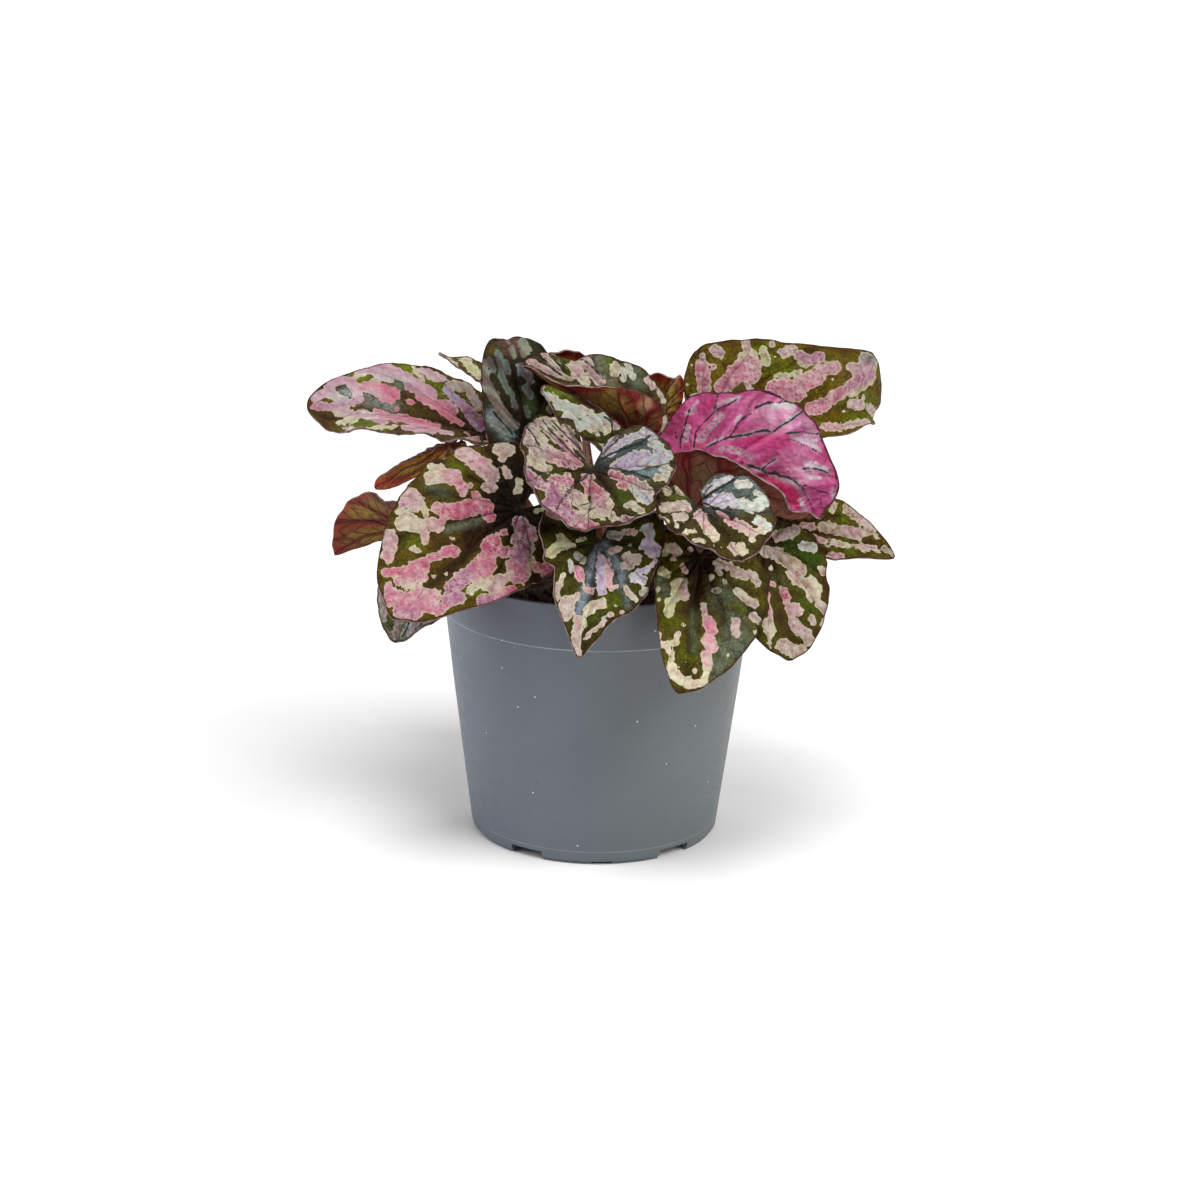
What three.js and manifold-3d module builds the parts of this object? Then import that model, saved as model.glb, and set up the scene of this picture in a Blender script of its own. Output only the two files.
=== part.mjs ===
// A potted rex begonia: a tapered plastic nursery pot, its soil, and the leaves, each an oblique
// heart-shaped blade grown in one piece with its stalk. Millimetres, +Z up, the origin on the pot's
// axis where it stands on the table, -Y the side that the plant shows to the room.
import * as THREE from "three";
import { mergeVertices } from "three/addons/utils/BufferGeometryUtils.js";
import Module from "manifold-3d";

const wasm = await Module();
wasm.setup();

const radians = THREE.MathUtils.degToRad;

// Driving dimensions of the pot.
const POT_HEIGHT = 104;
const RIM_RADIUS = 60; // outside, at the lip: a standard 12 cm pot
const FOOT_RADIUS = 47; // outside, at the table
const BAND_BOTTOM = 86.5; // the lower edge of the rim's band
const BAND_STEP = 0.4; // how far the band stands out of the wall below it
const WALL = 1.4;
const EDGE_ROUND = 0.4; // bevel of the lip and of the wall's lower edge
const FLOOR_BOTTOM = 4.2; // underside of the raised floor
const FLOOR_TOP = 6.5;
const FOOT_HEIGHT = 1.2; // of the low strips that the pot stands on
const FOOT_INSET = 0.8; // of the strips behind the wall's face
const FOOT_RING = 3.2; // thickness of the ring below the floor
const FEET = 5; // pairs of foot strips
const NOTCH_TURN = -32; // degrees from the front to the first drainage notch
const NOTCH_WIDTH = 13.6;
const NOTCH_HEIGHT = 3.5;
const FOOT_GAP = 7.4; // between the two strips of a pair
const DRAIN_RADIUS = 2.5;
const DRAIN_CIRCLE = 34; // radius of the circle of drainage holes
const DRAIN_SIDES = 12;
const POT_SIDES = 60;
const POT_COLOR = 0x828b97;
const POT_ROUGHNESS = 0.5;

// Driving dimensions of the soil.
const SOIL_EDGE = 94; // its level at the wall
const SOIL_CROWN = 97; // and at the middle
const LUMP_HEIGHT = 0.5; // of the lumps in its surface
const LUMP_SIZE = 3.3; // and how wide they are, as the length of one radian of their wave
const CRUMB_SIZE = 1.5; // the same for the crumbs on them, half as high
const SOIL_RINGS = 9;
const SOIL_COLOR = 0x2e231c;
const SOIL_ROUGHNESS = 0.95;
const CLEARANCE = 0.35; // between pieces that touch in the real plant

// Driving dimensions of every leaf.
const BLADE_THICKNESS = 0.8;
const SPOKES = 8; // on each half of a blade
const RINGS = 4;
const STALK_SIDES = 6;
const STALK_STEPS = 9;
const STALK_FOOT_RADIUS = 2.5;
const STALK_TOP_RADIUS = 1.5;
const STALK_DEPTH = 12; // how far a stalk reaches below the soil
const WIDEST_AT = 0.12; // the blade's widest line, as a share of its length from the stalk
const LOBE_FULLNESS = 2.1; // superellipse power of the outline behind that line
const LOBE_END = 166; // degrees round the outline, where the notch at the stalk begins
const LOBE_REACH = 1.3; // the lobe's length with its round back, as a multiple of its backward reach
const POINT_ANGLE = radians(9); // over which a tip is drawn out to its point
const CREASE_WIDTH = 0.1; // of the half's width, over which the midrib's crease turns
const CURL_START = 0.25; // of the half's width, where a curl begins
const CURL_FADE = 0.3; // of the leaf's length, where a curl begins to fade
const BEND_STEPS = 12; // in which a bend is added up
const WAVE_HEIGHT = 1.2; // of the margin's waves
const WAVES = 3; // their number round the leaf
const SLOPE_STEP = 0.5; // between the two points that give the surface's slope
const LEAF_ROUGHNESS = 0.45;
const STALK_JOIN = radians(60); // between stalk and midrib
const STALK_RISE = 0.45; // how far a stalk keeps its first direction, as a share of its span
const STALK_REACH = 0.35; // and its last direction
const STALK_FAN = 0.012; // outward lean of a stalk, for each mm from the axis to its foot

const smoothstep = (x) => THREE.MathUtils.smoothstep(x, 0, 1);
const vector = (list) => new THREE.Vector3(...list);

// Each leaf: foot is where its stalk leaves the soil; at is where the stalk meets the blade; heading,
// pitch and roll turn the blade (heading 0 is +X and -90 faces the room; pitch is up; roll lowers the
// left half); length is from the stalk to the tip; wide and lobe are the left and right halves' width
// and backward reach; lift raises each half at the midrib, as a fold does; cup bends its margin down,
// or up if negative; curl rolls a half over, most at its stalk end; bend turns the whole midrib down
// and droop its outer half; sweep bends it sideways; twist turns the tip; full is the outline's
// superellipse power towards the tip; point draws the tip out. Angles are in degrees.
const LEAF_DEFAULTS = {
  roll: 0,
  lobe: [16, 16],
  lift: [12, 12],
  cup: [25, 25],
  curl: [0, 0],
  bend: 32,
  droop: 0,
  sweep: 0,
  twist: 0,
  full: 1.6,
  point: 0,
};
const LEAVES = [
  {
    name: "leaf_centre", foot: [2, -15], at: [-3, -51, 152], heading: -91, pitch: -22, roll: 6,
    length: 34, wide: [31, 27], lobe: [28, 34], lift: [20, 25], cup: [10, 10], bend: 15, full: 1.9,
    color: 0x9a7f86,
  },
  {
    name: "leaf_right_small", foot: [15, -14], at: [37, -57, 140], heading: -66, pitch: -18, roll: -6,
    length: 32, wide: [25, 19], lobe: [17, 23], lift: [20, 15], cup: [15, 20], bend: 5, full: 1.5,
    twist: -10, color: 0x8f8a78,
  },
  {
    name: "leaf_front", foot: [0, -22], at: [0, -60, 128], heading: -96, pitch: -30, roll: 11, length: 48,
    wide: [25, 23], lobe: [19, 20], lift: [15, 25], cup: [15, 10], bend: 15, droop: 5, full: 1.3,
    point: 2, twist: -5, color: 0x7f8a84,
  },
  {
    name: "leaf_front_right", foot: [12, -22], at: [36, -55, 122], heading: -94, pitch: -42, roll: 12,
    length: 53, wide: [29, 16], lobe: [12, 8], lift: [5, 10], cup: [40, 25], bend: 20, sweep: -0.05,
    color: 0x6f7350,
  },
  {
    name: "leaf_low_right", foot: [24, -11], at: [60, -33, 121], heading: -59, pitch: -45, roll: -2,
    length: 45, wide: [23, 25], lobe: [9, 12], lift: [10, 10], cup: [20, 25], bend: 25, sweep: -0.05,
    twist: 5, color: 0x77704f,
  },
  {
    name: "leaf_right", foot: [27, -2], at: [68, -3, 118], heading: -23, pitch: 5, roll: -29, length: 43,
    wide: [21, 16], lobe: [11, 12], lift: [15, 10], cup: [20, 20], bend: 30, full: 1.3, twist: 5,
    point: 2, color: 0x7a6f57,
  },
  {
    name: "leaf_big_left", foot: [-12, -15], at: [-28, -32, 132], heading: -128, pitch: -15, roll: 23,
    length: 74, wide: [27, 37], lobe: [25, 33], lift: [5, 15], bend: 10, sweep: 0.05, full: 1.7,
    color: 0x9a6a6c,
  },
  {
    name: "leaf_low_left", foot: [-27, -5], at: [-54, -34, 112], heading: -127, pitch: -23, roll: 7,
    length: 38, wide: [21, 23], lobe: [12, 12], lift: [15, 10], cup: [15, 20], bend: 35, color: 0x8c9188,
  },
  {
    name: "leaf_left_under", foot: [-28, 3], at: [-71, 0, 114], heading: 159, pitch: 0, roll: -47,
    length: 32, wide: [28, 7], lobe: [9, 12], lift: [0, 20], cup: [10, 20], bend: 45, sweep: -0.1,
    twist: 20, full: 1.4, color: 0x7a4036,
  },
  {
    name: "leaf_left_high", foot: [-20, 13], at: [-57, 16, 144], heading: 161, pitch: -30, roll: -27,
    length: 38, wide: [8, 12], lobe: [6, 5], lift: [0, 10], cup: [15, 40], bend: 5, sweep: -0.05,
    color: 0x75503a,
  },
  {
    name: "leaf_far_left", foot: [-13, 4], at: [-42, 21, 146], heading: -172, pitch: 19, roll: 15,
    length: 71, wide: [23, 30], lobe: [7, 12], lift: [20, 10], cup: [-5, 15], bend: 30, droop: -15,
    sweep: -0.05, twist: -25, full: 1.8, color: 0xa8808c,
  },
  {
    name: "leaf_back_left", foot: [-12, 20], at: [-39, 56, 158], heading: 141, pitch: 22, roll: -8,
    length: 34, wide: [9, 14], lobe: [9, 12], lift: [10, 10], cup: [10, 15], bend: 20, droop: -10,
    full: 1.8, twist: -5, color: 0x8a8c5c,
  },
  {
    name: "leaf_upright", foot: [-5, 2], at: [-27, 2, 148], heading: 109, pitch: 69, roll: 2, length: 53,
    wide: [16, 18], lobe: [10, 11], lift: [15, 10], cup: [15, 25], bend: 60, sweep: -0.05, twist: -10,
    full: 2.1, color: 0x5d6152,
  },
  {
    name: "leaf_top", foot: [3, 5], at: [14, 14, 150], heading: 184, pitch: 34, roll: 16, length: 45,
    wide: [24, 26], lobe: [6, 10], lift: [50, 35], cup: [0, 20], bend: 15, curl: [70, 0], twist: -25,
    full: 1.7, color: 0x7c7a68,
  },
  {
    name: "leaf_top_lower", foot: [4, -5], at: [8, -13, 150], heading: 171, pitch: 38, roll: 19,
    length: 38, wide: [17, 9], lobe: [13, 9], lift: [25, 10], cup: [0, 15], bend: 20, droop: -15,
    sweep: -0.1, twist: -20, full: 1.7, color: 0x8a8d72,
  },
  {
    name: "leaf_back_red", foot: [9, 18], at: [20, 45, 149], heading: -50, pitch: 66, roll: 13,
    length: 24, wide: [11, 19], lobe: [5, 5], lift: [20, 25], cup: [25, 10], bend: 30, full: 1.8,
    twist: -10, color: 0x7c4630,
  },
  {
    name: "leaf_top_right", foot: [15, 7], at: [39, 26, 150], heading: 2, pitch: 16, roll: -36,
    length: 82, wide: [33, 24], lobe: [5, 19], lift: [30, 15], cup: [10, 15], bend: 30, droop: 70,
    sweep: 0.05, color: 0x8a7f5e,
  },
  {
    name: "leaf_magenta", foot: [18, -4], at: [34, -17, 133], heading: -23, pitch: 6, roll: -8,
    length: 53, wide: [48, 26], lobe: [21, 13], lift: [50, 65], cup: [15, 0], bend: 30, twist: 15,
    full: 1.8, color: 0xb0507c,
  },
  {
    name: "leaf_young", foot: [-4, 11], at: [-14, 38, 162], heading: -90, pitch: 75, length: 17,
    wide: [14, 14], lobe: [5, 5], lift: [10, 10], bend: 30, color: 0x8a3a30,
  },
  {
    name: "leaf_back_low_left", foot: [-18, 27], at: [-40, 48, 117], heading: 142, pitch: -12, length: 48,
    wide: [22, 24], lift: [10, 10], bend: 30, color: 0x85806a,
  },
  {
    name: "leaf_back_low", foot: [3, 31], at: [2, 61, 116], heading: 92, pitch: -22, length: 40,
    wide: [22, 24], lift: [10, 10], bend: 30, color: 0x7b7a5c,
  },
  {
    name: "leaf_back_low_right", foot: [22, 16], at: [43, 37, 121], heading: 28, pitch: -14, length: 50,
    wide: [24, 24], lobe: [14, 16], lift: [10, 10], bend: 30, color: 0x94757a,
  },
  {
    name: "leaf_back_right", foot: [11, 26], at: [26, 64, 136], heading: 68, pitch: -2, length: 40,
    wide: [21, 21], lobe: [14, 14], lift: [10, 10], bend: 30, color: 0x8d8268,
  },
  {
    name: "leaf_back_top", foot: [1, 20], at: [-6, 56, 146], heading: 90, pitch: 8, length: 38,
    wide: [22, 24], lift: [15, 15], bend: 40, color: 0x9c8084,
  },
];

// The directions of a blade where its stalk meets it: along the midrib, to its left, and out of its face.
function bladeFrame(leaf) {
  const [heading, pitch, roll] = [leaf.heading, leaf.pitch, leaf.roll].map(radians);
  const level = vector([Math.cos(heading), Math.sin(heading), 0]);
  const along = level.clone().multiplyScalar(Math.cos(pitch)).setZ(Math.sin(pitch));
  const up = level.clone().multiplyScalar(-Math.sin(pitch)).setZ(Math.cos(pitch));
  const left = up.clone().cross(along);
  const normal = up.clone().multiplyScalar(Math.cos(roll)).addScaledVector(left, Math.sin(roll));
  left.multiplyScalar(Math.cos(roll)).addScaledVector(up, -Math.sin(roll));
  return { along, left, normal };
}

// The blade's middle surface: the point in space for s along the midrib and t to its left when flat.
function bladePoint(leaf, frame, s, t) {
  const side = t >= 0 ? 0 : 1;
  const width = leaf.wide[side];
  const u = s / leaf.length;
  const turnAt = (share) => radians(leaf.bend * share + leaf.droop * Math.max(0, 2 * share - 1) ** 2);
  let [forward, fall] = [0, 0];
  for (let i = 0; i < BEND_STEPS; i++) {
    const turn = turnAt((u * (i + 0.5)) / BEND_STEPS);
    forward += (Math.cos(turn) * s) / BEND_STEPS;
    fall -= (Math.sin(turn) * s) / BEND_STEPS;
  }
  const turn = turnAt(u);
  let [across, raise] = [0, 0];
  const curlHere = leaf.curl[side] * (1 - smoothstep((u - CURL_FADE) / (1 - CURL_FADE)));
  for (let i = 0; i < BEND_STEPS; i++) {
    const v = (Math.abs(t) / width) * ((i + 0.5) / BEND_STEPS);
    const fold = leaf.lift[side] * smoothstep(v / CREASE_WIDTH);
    const curl = curlHere * smoothstep((v - CURL_START) / (1 - CURL_START));
    const slope = radians(fold - leaf.cup[side] * v + curl);
    across += (Math.cos(slope) * t) / BEND_STEPS;
    raise += (Math.sin(slope) * Math.abs(t)) / BEND_STEPS;
  }
  across += leaf.sweep * leaf.length * Math.max(0, u) ** 2;
  const reach = Math.hypot(s / (s > 0 ? leaf.length : leaf.lobe[side] * LOBE_REACH), t / width);
  const round = Math.atan2(t / width, u);
  raise += WAVE_HEIGHT * reach ** 2 * Math.sin(WAVES * round);
  const tipDirection = frame.along.clone().multiplyScalar(Math.cos(turn));
  tipDirection.addScaledVector(frame.normal, -Math.sin(turn));
  const face = frame.normal.clone().multiplyScalar(Math.cos(turn));
  face.addScaledVector(frame.along, Math.sin(turn));
  const left = frame.left.clone();
  const twist = radians(leaf.twist * Math.max(0, u));
  left.applyAxisAngle(tipDirection, twist);
  face.applyAxisAngle(tipDirection, twist);
  return vector(leaf.at)
    .addScaledVector(frame.along, forward)
    .addScaledVector(frame.normal, fall)
    .addScaledVector(left, across)
    .addScaledVector(face, raise);
}

// The flat outline of one half, as [s, t] points from the tip round the side and the lobe to the notch.
function halfOutline(leaf, side) {
  const centre = WIDEST_AT * leaf.length;
  const points = [];
  for (let i = 0; i <= SPOKES; i++) {
    const angle = radians((LOBE_END * i) / SPOKES);
    const [c, s] = [Math.cos(angle), Math.sin(angle)];
    const power = c > 0 ? leaf.full : LOBE_FULLNESS;
    const long = c > 0 ? leaf.length - centre : leaf.lobe[side] + centre;
    const radius = ((Math.abs(c) / long) ** power + (s / leaf.wide[side]) ** power) ** (-1 / power);
    const drawnOut = leaf.point * Math.exp(-((angle / POINT_ANGLE) ** 2));
    points.push([centre + radius * c + drawnOut, radius * s * (side === 0 ? 1 : -1)]);
  }
  return points;
}

// A closed triangle mesh from points and faces, as a manifold solid.
function solidFrom(points, faces) {
  const vertProperties = new Float32Array(points.flatMap((p) => [p.x, p.y, p.z]));
  const triVerts = new Uint32Array(faces.flat());
  return new wasm.Manifold(new wasm.Mesh({ numProp: 3, vertProperties, triVerts }));
}

// The blade: two alike faces, a fan of rings about the stalk, closed round the margin and the notch.
function bladeSolid(leaf) {
  const frame = bladeFrame(leaf);
  const rightHalf = halfOutline(leaf, 1);
  const outline = [...halfOutline(leaf, 0).reverse(), ...rightHalf.slice(1)];
  const flat = [[0, 0]];
  for (let ring = 1; ring <= RINGS; ring++) {
    const share = ring / RINGS;
    for (const [s, t] of outline) flat.push([s * share, t * share]);
  }
  const [upper, lower] = [[], []];
  for (const [s, t] of flat) {
    const middle = bladePoint(leaf, frame, s, t);
    const alongS = bladePoint(leaf, frame, s + SLOPE_STEP, t);
    alongS.sub(bladePoint(leaf, frame, s - SLOPE_STEP, t));
    const alongT = bladePoint(leaf, frame, s, t + SLOPE_STEP);
    alongT.sub(bladePoint(leaf, frame, s, t - SLOPE_STEP));
    const normal = alongS.cross(alongT).normalize();
    upper.push(middle.clone().addScaledVector(normal, BLADE_THICKNESS / 2));
    lower.push(middle.clone().addScaledVector(normal, -BLADE_THICKNESS / 2));
  }
  const count = outline.length;
  const at = (ring, i) => (ring === 0 ? 0 : 1 + (ring - 1) * count + i);
  const face = [];
  for (let i = 0; i < count - 1; i++) {
    face.push([0, at(1, i + 1), at(1, i)]);
    for (let ring = 1; ring < RINGS; ring++) {
      face.push([at(ring, i), at(ring, i + 1), at(ring + 1, i + 1)]);
      face.push([at(ring, i), at(ring + 1, i + 1), at(ring + 1, i)]);
    }
  }
  const rim = [0];
  for (let ring = 1; ring <= RINGS; ring++) rim.push(at(ring, 0));
  for (let i = 1; i < count; i++) rim.push(at(RINGS, i));
  for (let ring = RINGS - 1; ring >= 1; ring--) rim.push(at(ring, count - 1));
  const below = flat.length;
  const faces = [...face, ...face.map(([a, b, c]) => [a + below, c + below, b + below])];
  rim.forEach((a, i) => {
    const b = rim[(i + 1) % rim.length];
    faces.push([a, b, b + below], [a, b + below, a + below]);
  });
  return solidFrom([...upper, ...lower], faces);
}

// The stalk's centre line, from a depth below the soil to where it meets the blade.
function stalkCurve(leaf, depth) {
  const frame = bladeFrame(leaf);
  const arrival = frame.along.clone().multiplyScalar(Math.cos(STALK_JOIN));
  arrival.addScaledVector(frame.normal, Math.sin(STALK_JOIN));
  const end = vector(leaf.at);
  const foot = vector([...leaf.foot, SOIL_EDGE]);
  const span = end.distanceTo(foot);
  const tilt = vector([STALK_FAN * leaf.foot[0], STALK_FAN * leaf.foot[1], 1]).normalize();
  const start = foot.clone().addScaledVector(tilt, -depth);
  const first = foot.clone().addScaledVector(tilt, STALK_RISE * span);
  const last = end.clone().addScaledVector(arrival, -STALK_REACH * span);
  return new THREE.CubicBezierCurve3(start, first, last, end);
}

// A round tapered bar along a curve, with flat ends.
function barSolid(curve, footRadius, topRadius) {
  const [sides, steps] = [STALK_SIDES, STALK_STEPS];
  const frames = curve.computeFrenetFrames(steps, false);
  const points = [];
  for (let i = 0; i <= steps; i++) {
    const centre = curve.getPointAt(i / steps);
    const radius = THREE.MathUtils.lerp(footRadius, topRadius, i / steps);
    for (let j = 0; j < sides; j++) {
      const angle = (2 * Math.PI * j) / sides;
      const across = frames.normals[i].clone().multiplyScalar(radius * Math.cos(angle));
      across.addScaledVector(frames.binormals[i], radius * Math.sin(angle));
      points.push(centre.clone().add(across));
    }
  }
  const faces = [];
  const at = (i, j) => i * sides + (j % sides);
  for (let i = 0; i < steps; i++)
    for (let j = 0; j < sides; j++) {
      faces.push([at(i, j), at(i, j + 1), at(i + 1, j + 1)]);
      faces.push([at(i, j), at(i + 1, j + 1), at(i + 1, j)]);
    }
  for (let j = 1; j < sides - 1; j++) {
    faces.push([at(0, 0), at(0, j + 1), at(0, j)]);
    faces.push([at(steps, 0), at(steps, j), at(steps, j + 1)]);
  }
  return solidFrom(points, faces);
}

// A closed three.js geometry as a manifold solid, its seams and its poles welded.
function solidOf(geometry) {
  const bare = new THREE.BufferGeometry();
  bare.setAttribute("position", geometry.getAttribute("position"));
  bare.setIndex(geometry.getIndex());
  const welded = mergeVertices(bare, 1e-3);
  const position = welded.getAttribute("position");
  const points = [];
  for (let i = 0; i < position.count; i++) points.push(vector([0, 0, 0]).fromBufferAttribute(position, i));
  const corners = [...welded.getIndex().array];
  const faces = [];
  for (let i = 0; i < corners.length; i += 3) {
    const face = corners.slice(i, i + 3);
    if (new Set(face).size === 3) faces.push(face);
  }
  return solidFrom(points, faces);
}

// A turned shape about the Z axis, from [radius, height] points that start and end on the axis.
function turned(profile, sides) {
  const points = profile.map(([radius, height]) => new THREE.Vector2(radius, height));
  return new THREE.LatheGeometry(points, sides).rotateX(Math.PI / 2);
}

function wallRadius(height) {
  return THREE.MathUtils.lerp(FOOT_RADIUS, RIM_RADIUS, height / POT_HEIGHT);
}

// A block that reaches well past both sides of the pot's foot ring, at an angle from the front.
function footCutter(width, height, angle) {
  const reach = 3 * FOOT_RING;
  const block = new THREE.BoxGeometry(width, 2 * reach, height + FOOT_HEIGHT);
  block.translate(0, FOOT_RING - FOOT_RADIUS, (height - FOOT_HEIGHT) / 2);
  return solidOf(block.rotateZ(radians(angle)));
}

function potSolid() {
  const underRing = FOOT_RADIUS - FOOT_RING;
  const footFace = FOOT_RADIUS - FOOT_INSET;
  const wallEdge = wallRadius(FOOT_HEIGHT);
  const profile = [
    [0, FLOOR_BOTTOM],
    [underRing, FLOOR_BOTTOM],
    [underRing, 0],
    [footFace, 0],
    [footFace, FOOT_HEIGHT],
    [wallEdge - EDGE_ROUND, FOOT_HEIGHT],
    [wallEdge, FOOT_HEIGHT + EDGE_ROUND],
    [wallRadius(BAND_BOTTOM) - BAND_STEP, BAND_BOTTOM],
    [wallRadius(BAND_BOTTOM), BAND_BOTTOM + BAND_STEP / 2],
    [wallRadius(POT_HEIGHT), POT_HEIGHT - EDGE_ROUND],
    [RIM_RADIUS - EDGE_ROUND, POT_HEIGHT],
    [RIM_RADIUS - WALL, POT_HEIGHT],
    [wallRadius(BAND_BOTTOM) - BAND_STEP - WALL, BAND_BOTTOM],
    [wallRadius(FLOOR_TOP) - WALL, FLOOR_TOP],
    [0, FLOOR_TOP],
  ];
  let pot = solidOf(turned(profile, POT_SIDES));
  for (let i = 0; i < FEET; i++) {
    const turn = NOTCH_TURN + (360 * i) / FEET;
    pot = pot.subtract(footCutter(NOTCH_WIDTH, NOTCH_HEIGHT, turn));
    pot = pot.subtract(footCutter(FOOT_GAP, FOOT_HEIGHT, turn + 180 / FEET));
    const drain = new THREE.CylinderGeometry(DRAIN_RADIUS, DRAIN_RADIUS, 2 * FLOOR_TOP, DRAIN_SIDES);
    drain.rotateX(Math.PI / 2).translate(0, -DRAIN_CIRCLE, FLOOR_BOTTOM).rotateZ(radians(turn));
    pot = pot.subtract(solidOf(drain));
  }
  return pot;
}

// The height of the soil's surface: mounded to the middle, with lumps and crumbs.
function soilHeight(x, y) {
  const share = Math.hypot(x, y) / wallRadius(SOIL_EDGE);
  const lumps = Math.sin((x + y / 2) / LUMP_SIZE) * Math.sin((y - x / 2) / LUMP_SIZE);
  const crumbs = Math.sin(x / CRUMB_SIZE) * Math.sin(y / CRUMB_SIZE);
  return THREE.MathUtils.lerp(SOIL_CROWN, SOIL_EDGE, share ** 2) + LUMP_HEIGHT * (lumps + crumbs / 2);
}

// The soil fills the pot; every stalk stands in a plain hole in it.
function soilSolid(holes) {
  const inside = WALL + BAND_STEP + CLEARANCE;
  const bottom = FLOOR_TOP + CLEARANCE;
  const edge = wallRadius(SOIL_EDGE) - inside;
  const profile = [
    [0, bottom],
    [wallRadius(bottom) - inside, bottom],
    [edge, SOIL_EDGE],
  ];
  for (let ring = SOIL_RINGS - 1; ring >= 0; ring--) profile.push([(edge * ring) / SOIL_RINGS, SOIL_EDGE]);
  const geometry = turned(profile, POT_SIDES / 2);
  const position = geometry.getAttribute("position");
  for (let i = 0; i < position.count; i++) {
    const [x, y] = [position.getX(i), position.getY(i)];
    if (position.getZ(i) > SOIL_EDGE - CLEARANCE) position.setZ(i, soilHeight(x, y));
  }
  return holes.reduce((soil, hole) => soil.subtract(hole), solidOf(geometry));
}

function meshOf(name, solid, color, roughness) {
  const { vertProperties, triVerts } = solid.getMesh();
  const geometry = new THREE.BufferGeometry()
    .setAttribute("position", new THREE.BufferAttribute(vertProperties, 3))
    .setIndex(new THREE.BufferAttribute(triVerts, 1))
    .toNonIndexed();
  geometry.computeVertexNormals();
  const mesh = new THREE.Mesh(geometry, new THREE.MeshStandardMaterial({ color, roughness, metalness: 0 }));
  mesh.name = name;
  return mesh;
}

const plant = new THREE.Group();
plant.name = "potted_rex_begonia";
const holes = [];
for (const row of LEAVES) {
  const leaf = { ...LEAF_DEFAULTS, ...row };
  const stalk = barSolid(stalkCurve(leaf, STALK_DEPTH), STALK_FOOT_RADIUS, STALK_TOP_RADIUS);
  plant.add(meshOf(leaf.name, bladeSolid(leaf).add(stalk), leaf.color, LEAF_ROUGHNESS));
  const holeCurve = stalkCurve(leaf, STALK_DEPTH + 2 * CLEARANCE);
  holes.push(barSolid(holeCurve, STALK_FOOT_RADIUS + 2 * CLEARANCE, STALK_TOP_RADIUS + 2 * CLEARANCE));
}
plant.add(meshOf("pot", potSolid(), POT_COLOR, POT_ROUGHNESS));
plant.add(meshOf("soil", soilSolid(holes), SOIL_COLOR, SOIL_ROUGHNESS));

export default plant;
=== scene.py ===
# A potted rex begonia: blades painted with their patches, veined and pebbled, on hairy red stalks, in dark
# peat in a blue-grey nursery pot, on a white studio floor.
import functools
import math

import bpy
import numpy as np
from mathutils import Matrix, Vector


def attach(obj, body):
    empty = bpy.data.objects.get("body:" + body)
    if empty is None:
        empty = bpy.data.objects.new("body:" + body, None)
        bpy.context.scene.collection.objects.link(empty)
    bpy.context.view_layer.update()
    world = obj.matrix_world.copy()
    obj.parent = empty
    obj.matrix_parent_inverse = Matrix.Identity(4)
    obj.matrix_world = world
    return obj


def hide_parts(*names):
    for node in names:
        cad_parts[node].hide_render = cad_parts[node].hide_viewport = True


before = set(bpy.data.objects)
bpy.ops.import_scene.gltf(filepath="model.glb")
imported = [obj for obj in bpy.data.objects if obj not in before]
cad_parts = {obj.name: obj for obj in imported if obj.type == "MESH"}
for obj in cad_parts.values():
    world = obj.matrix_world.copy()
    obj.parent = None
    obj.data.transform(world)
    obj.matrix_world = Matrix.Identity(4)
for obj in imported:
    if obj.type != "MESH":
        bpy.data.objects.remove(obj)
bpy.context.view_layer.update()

bpy.ops.object.select_all(action="DESELECT")

MM = 0.001

# --------------------------------------------------------------------------------------------------------
# Sizes, in millimetres. The forms are as the solids have them, but more finely meshed.
# --------------------------------------------------------------------------------------------------------
POT_HEIGHT = 104.0
RIM_RADIUS = 60.0
FOOT_RADIUS = 47.0
BAND_BOTTOM = 86.5
BAND_STEP = 0.4
WALL = 1.4
FLOOR_BOTTOM = 4.2
FLOOR_TOP = 6.5
FOOT_HEIGHT = 1.2
FOOT_INSET = 0.8
FOOT_RING = 3.2
FEET = 5
NOTCH_TURN = -32.0
NOTCH_WIDTH = 13.6
NOTCH_HEIGHT = 3.5
FOOT_GAP = 7.4
FOOT_LINE = 5.2  # the height of the mould's parting line
DRAIN_RADIUS = 2.5
DRAIN_CIRCLE = 34.0
POT_SIDES = 180

SOIL_EDGE = 94.0
SOIL_CROWN = 97.0
SOIL_SIDES = 200
SOIL_RINGS = 44
SOIL_GAP = 0.1  # between the peat and the wall
LUMP_HEIGHT, LUMP_SIZE = 0.55, 5.5
GRIT_HEIGHT, GRIT_SIZE = 0.35, 2.0
SOIL_SETTLED = 0.3
CRUMBS = 420
CRUMB_RADIUS = (0.5, 1.5)
CRUMB_DENTS = 0.16

BLADE_THICKNESS = 0.6  # the solids have 0.8, and here the relief takes up the rest
WIDEST_AT = 0.12
LOBE_FULLNESS = 2.1
LOBE_END = 166.0
LOBE_REACH = 1.3
POINT_ANGLE = math.radians(9)
CREASE_WIDTH = 0.1
CURL_START = 0.25
CURL_FADE = 0.3
BEND_STEPS = 12
WAVE_HEIGHT = 1.2
WAVES = 3

STALK_FOOT_RADIUS = 2.5
STALK_TOP_RADIUS = 1.5
STALK_DEPTH = 12.0
STALK_JOIN = math.radians(60)
STALK_RISE = 0.45
STALK_REACH = 0.35
STALK_FAN = 0.012
STALK_TUCK = 1.1  # how far a stalk's end stays under the blade's middle surface

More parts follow.
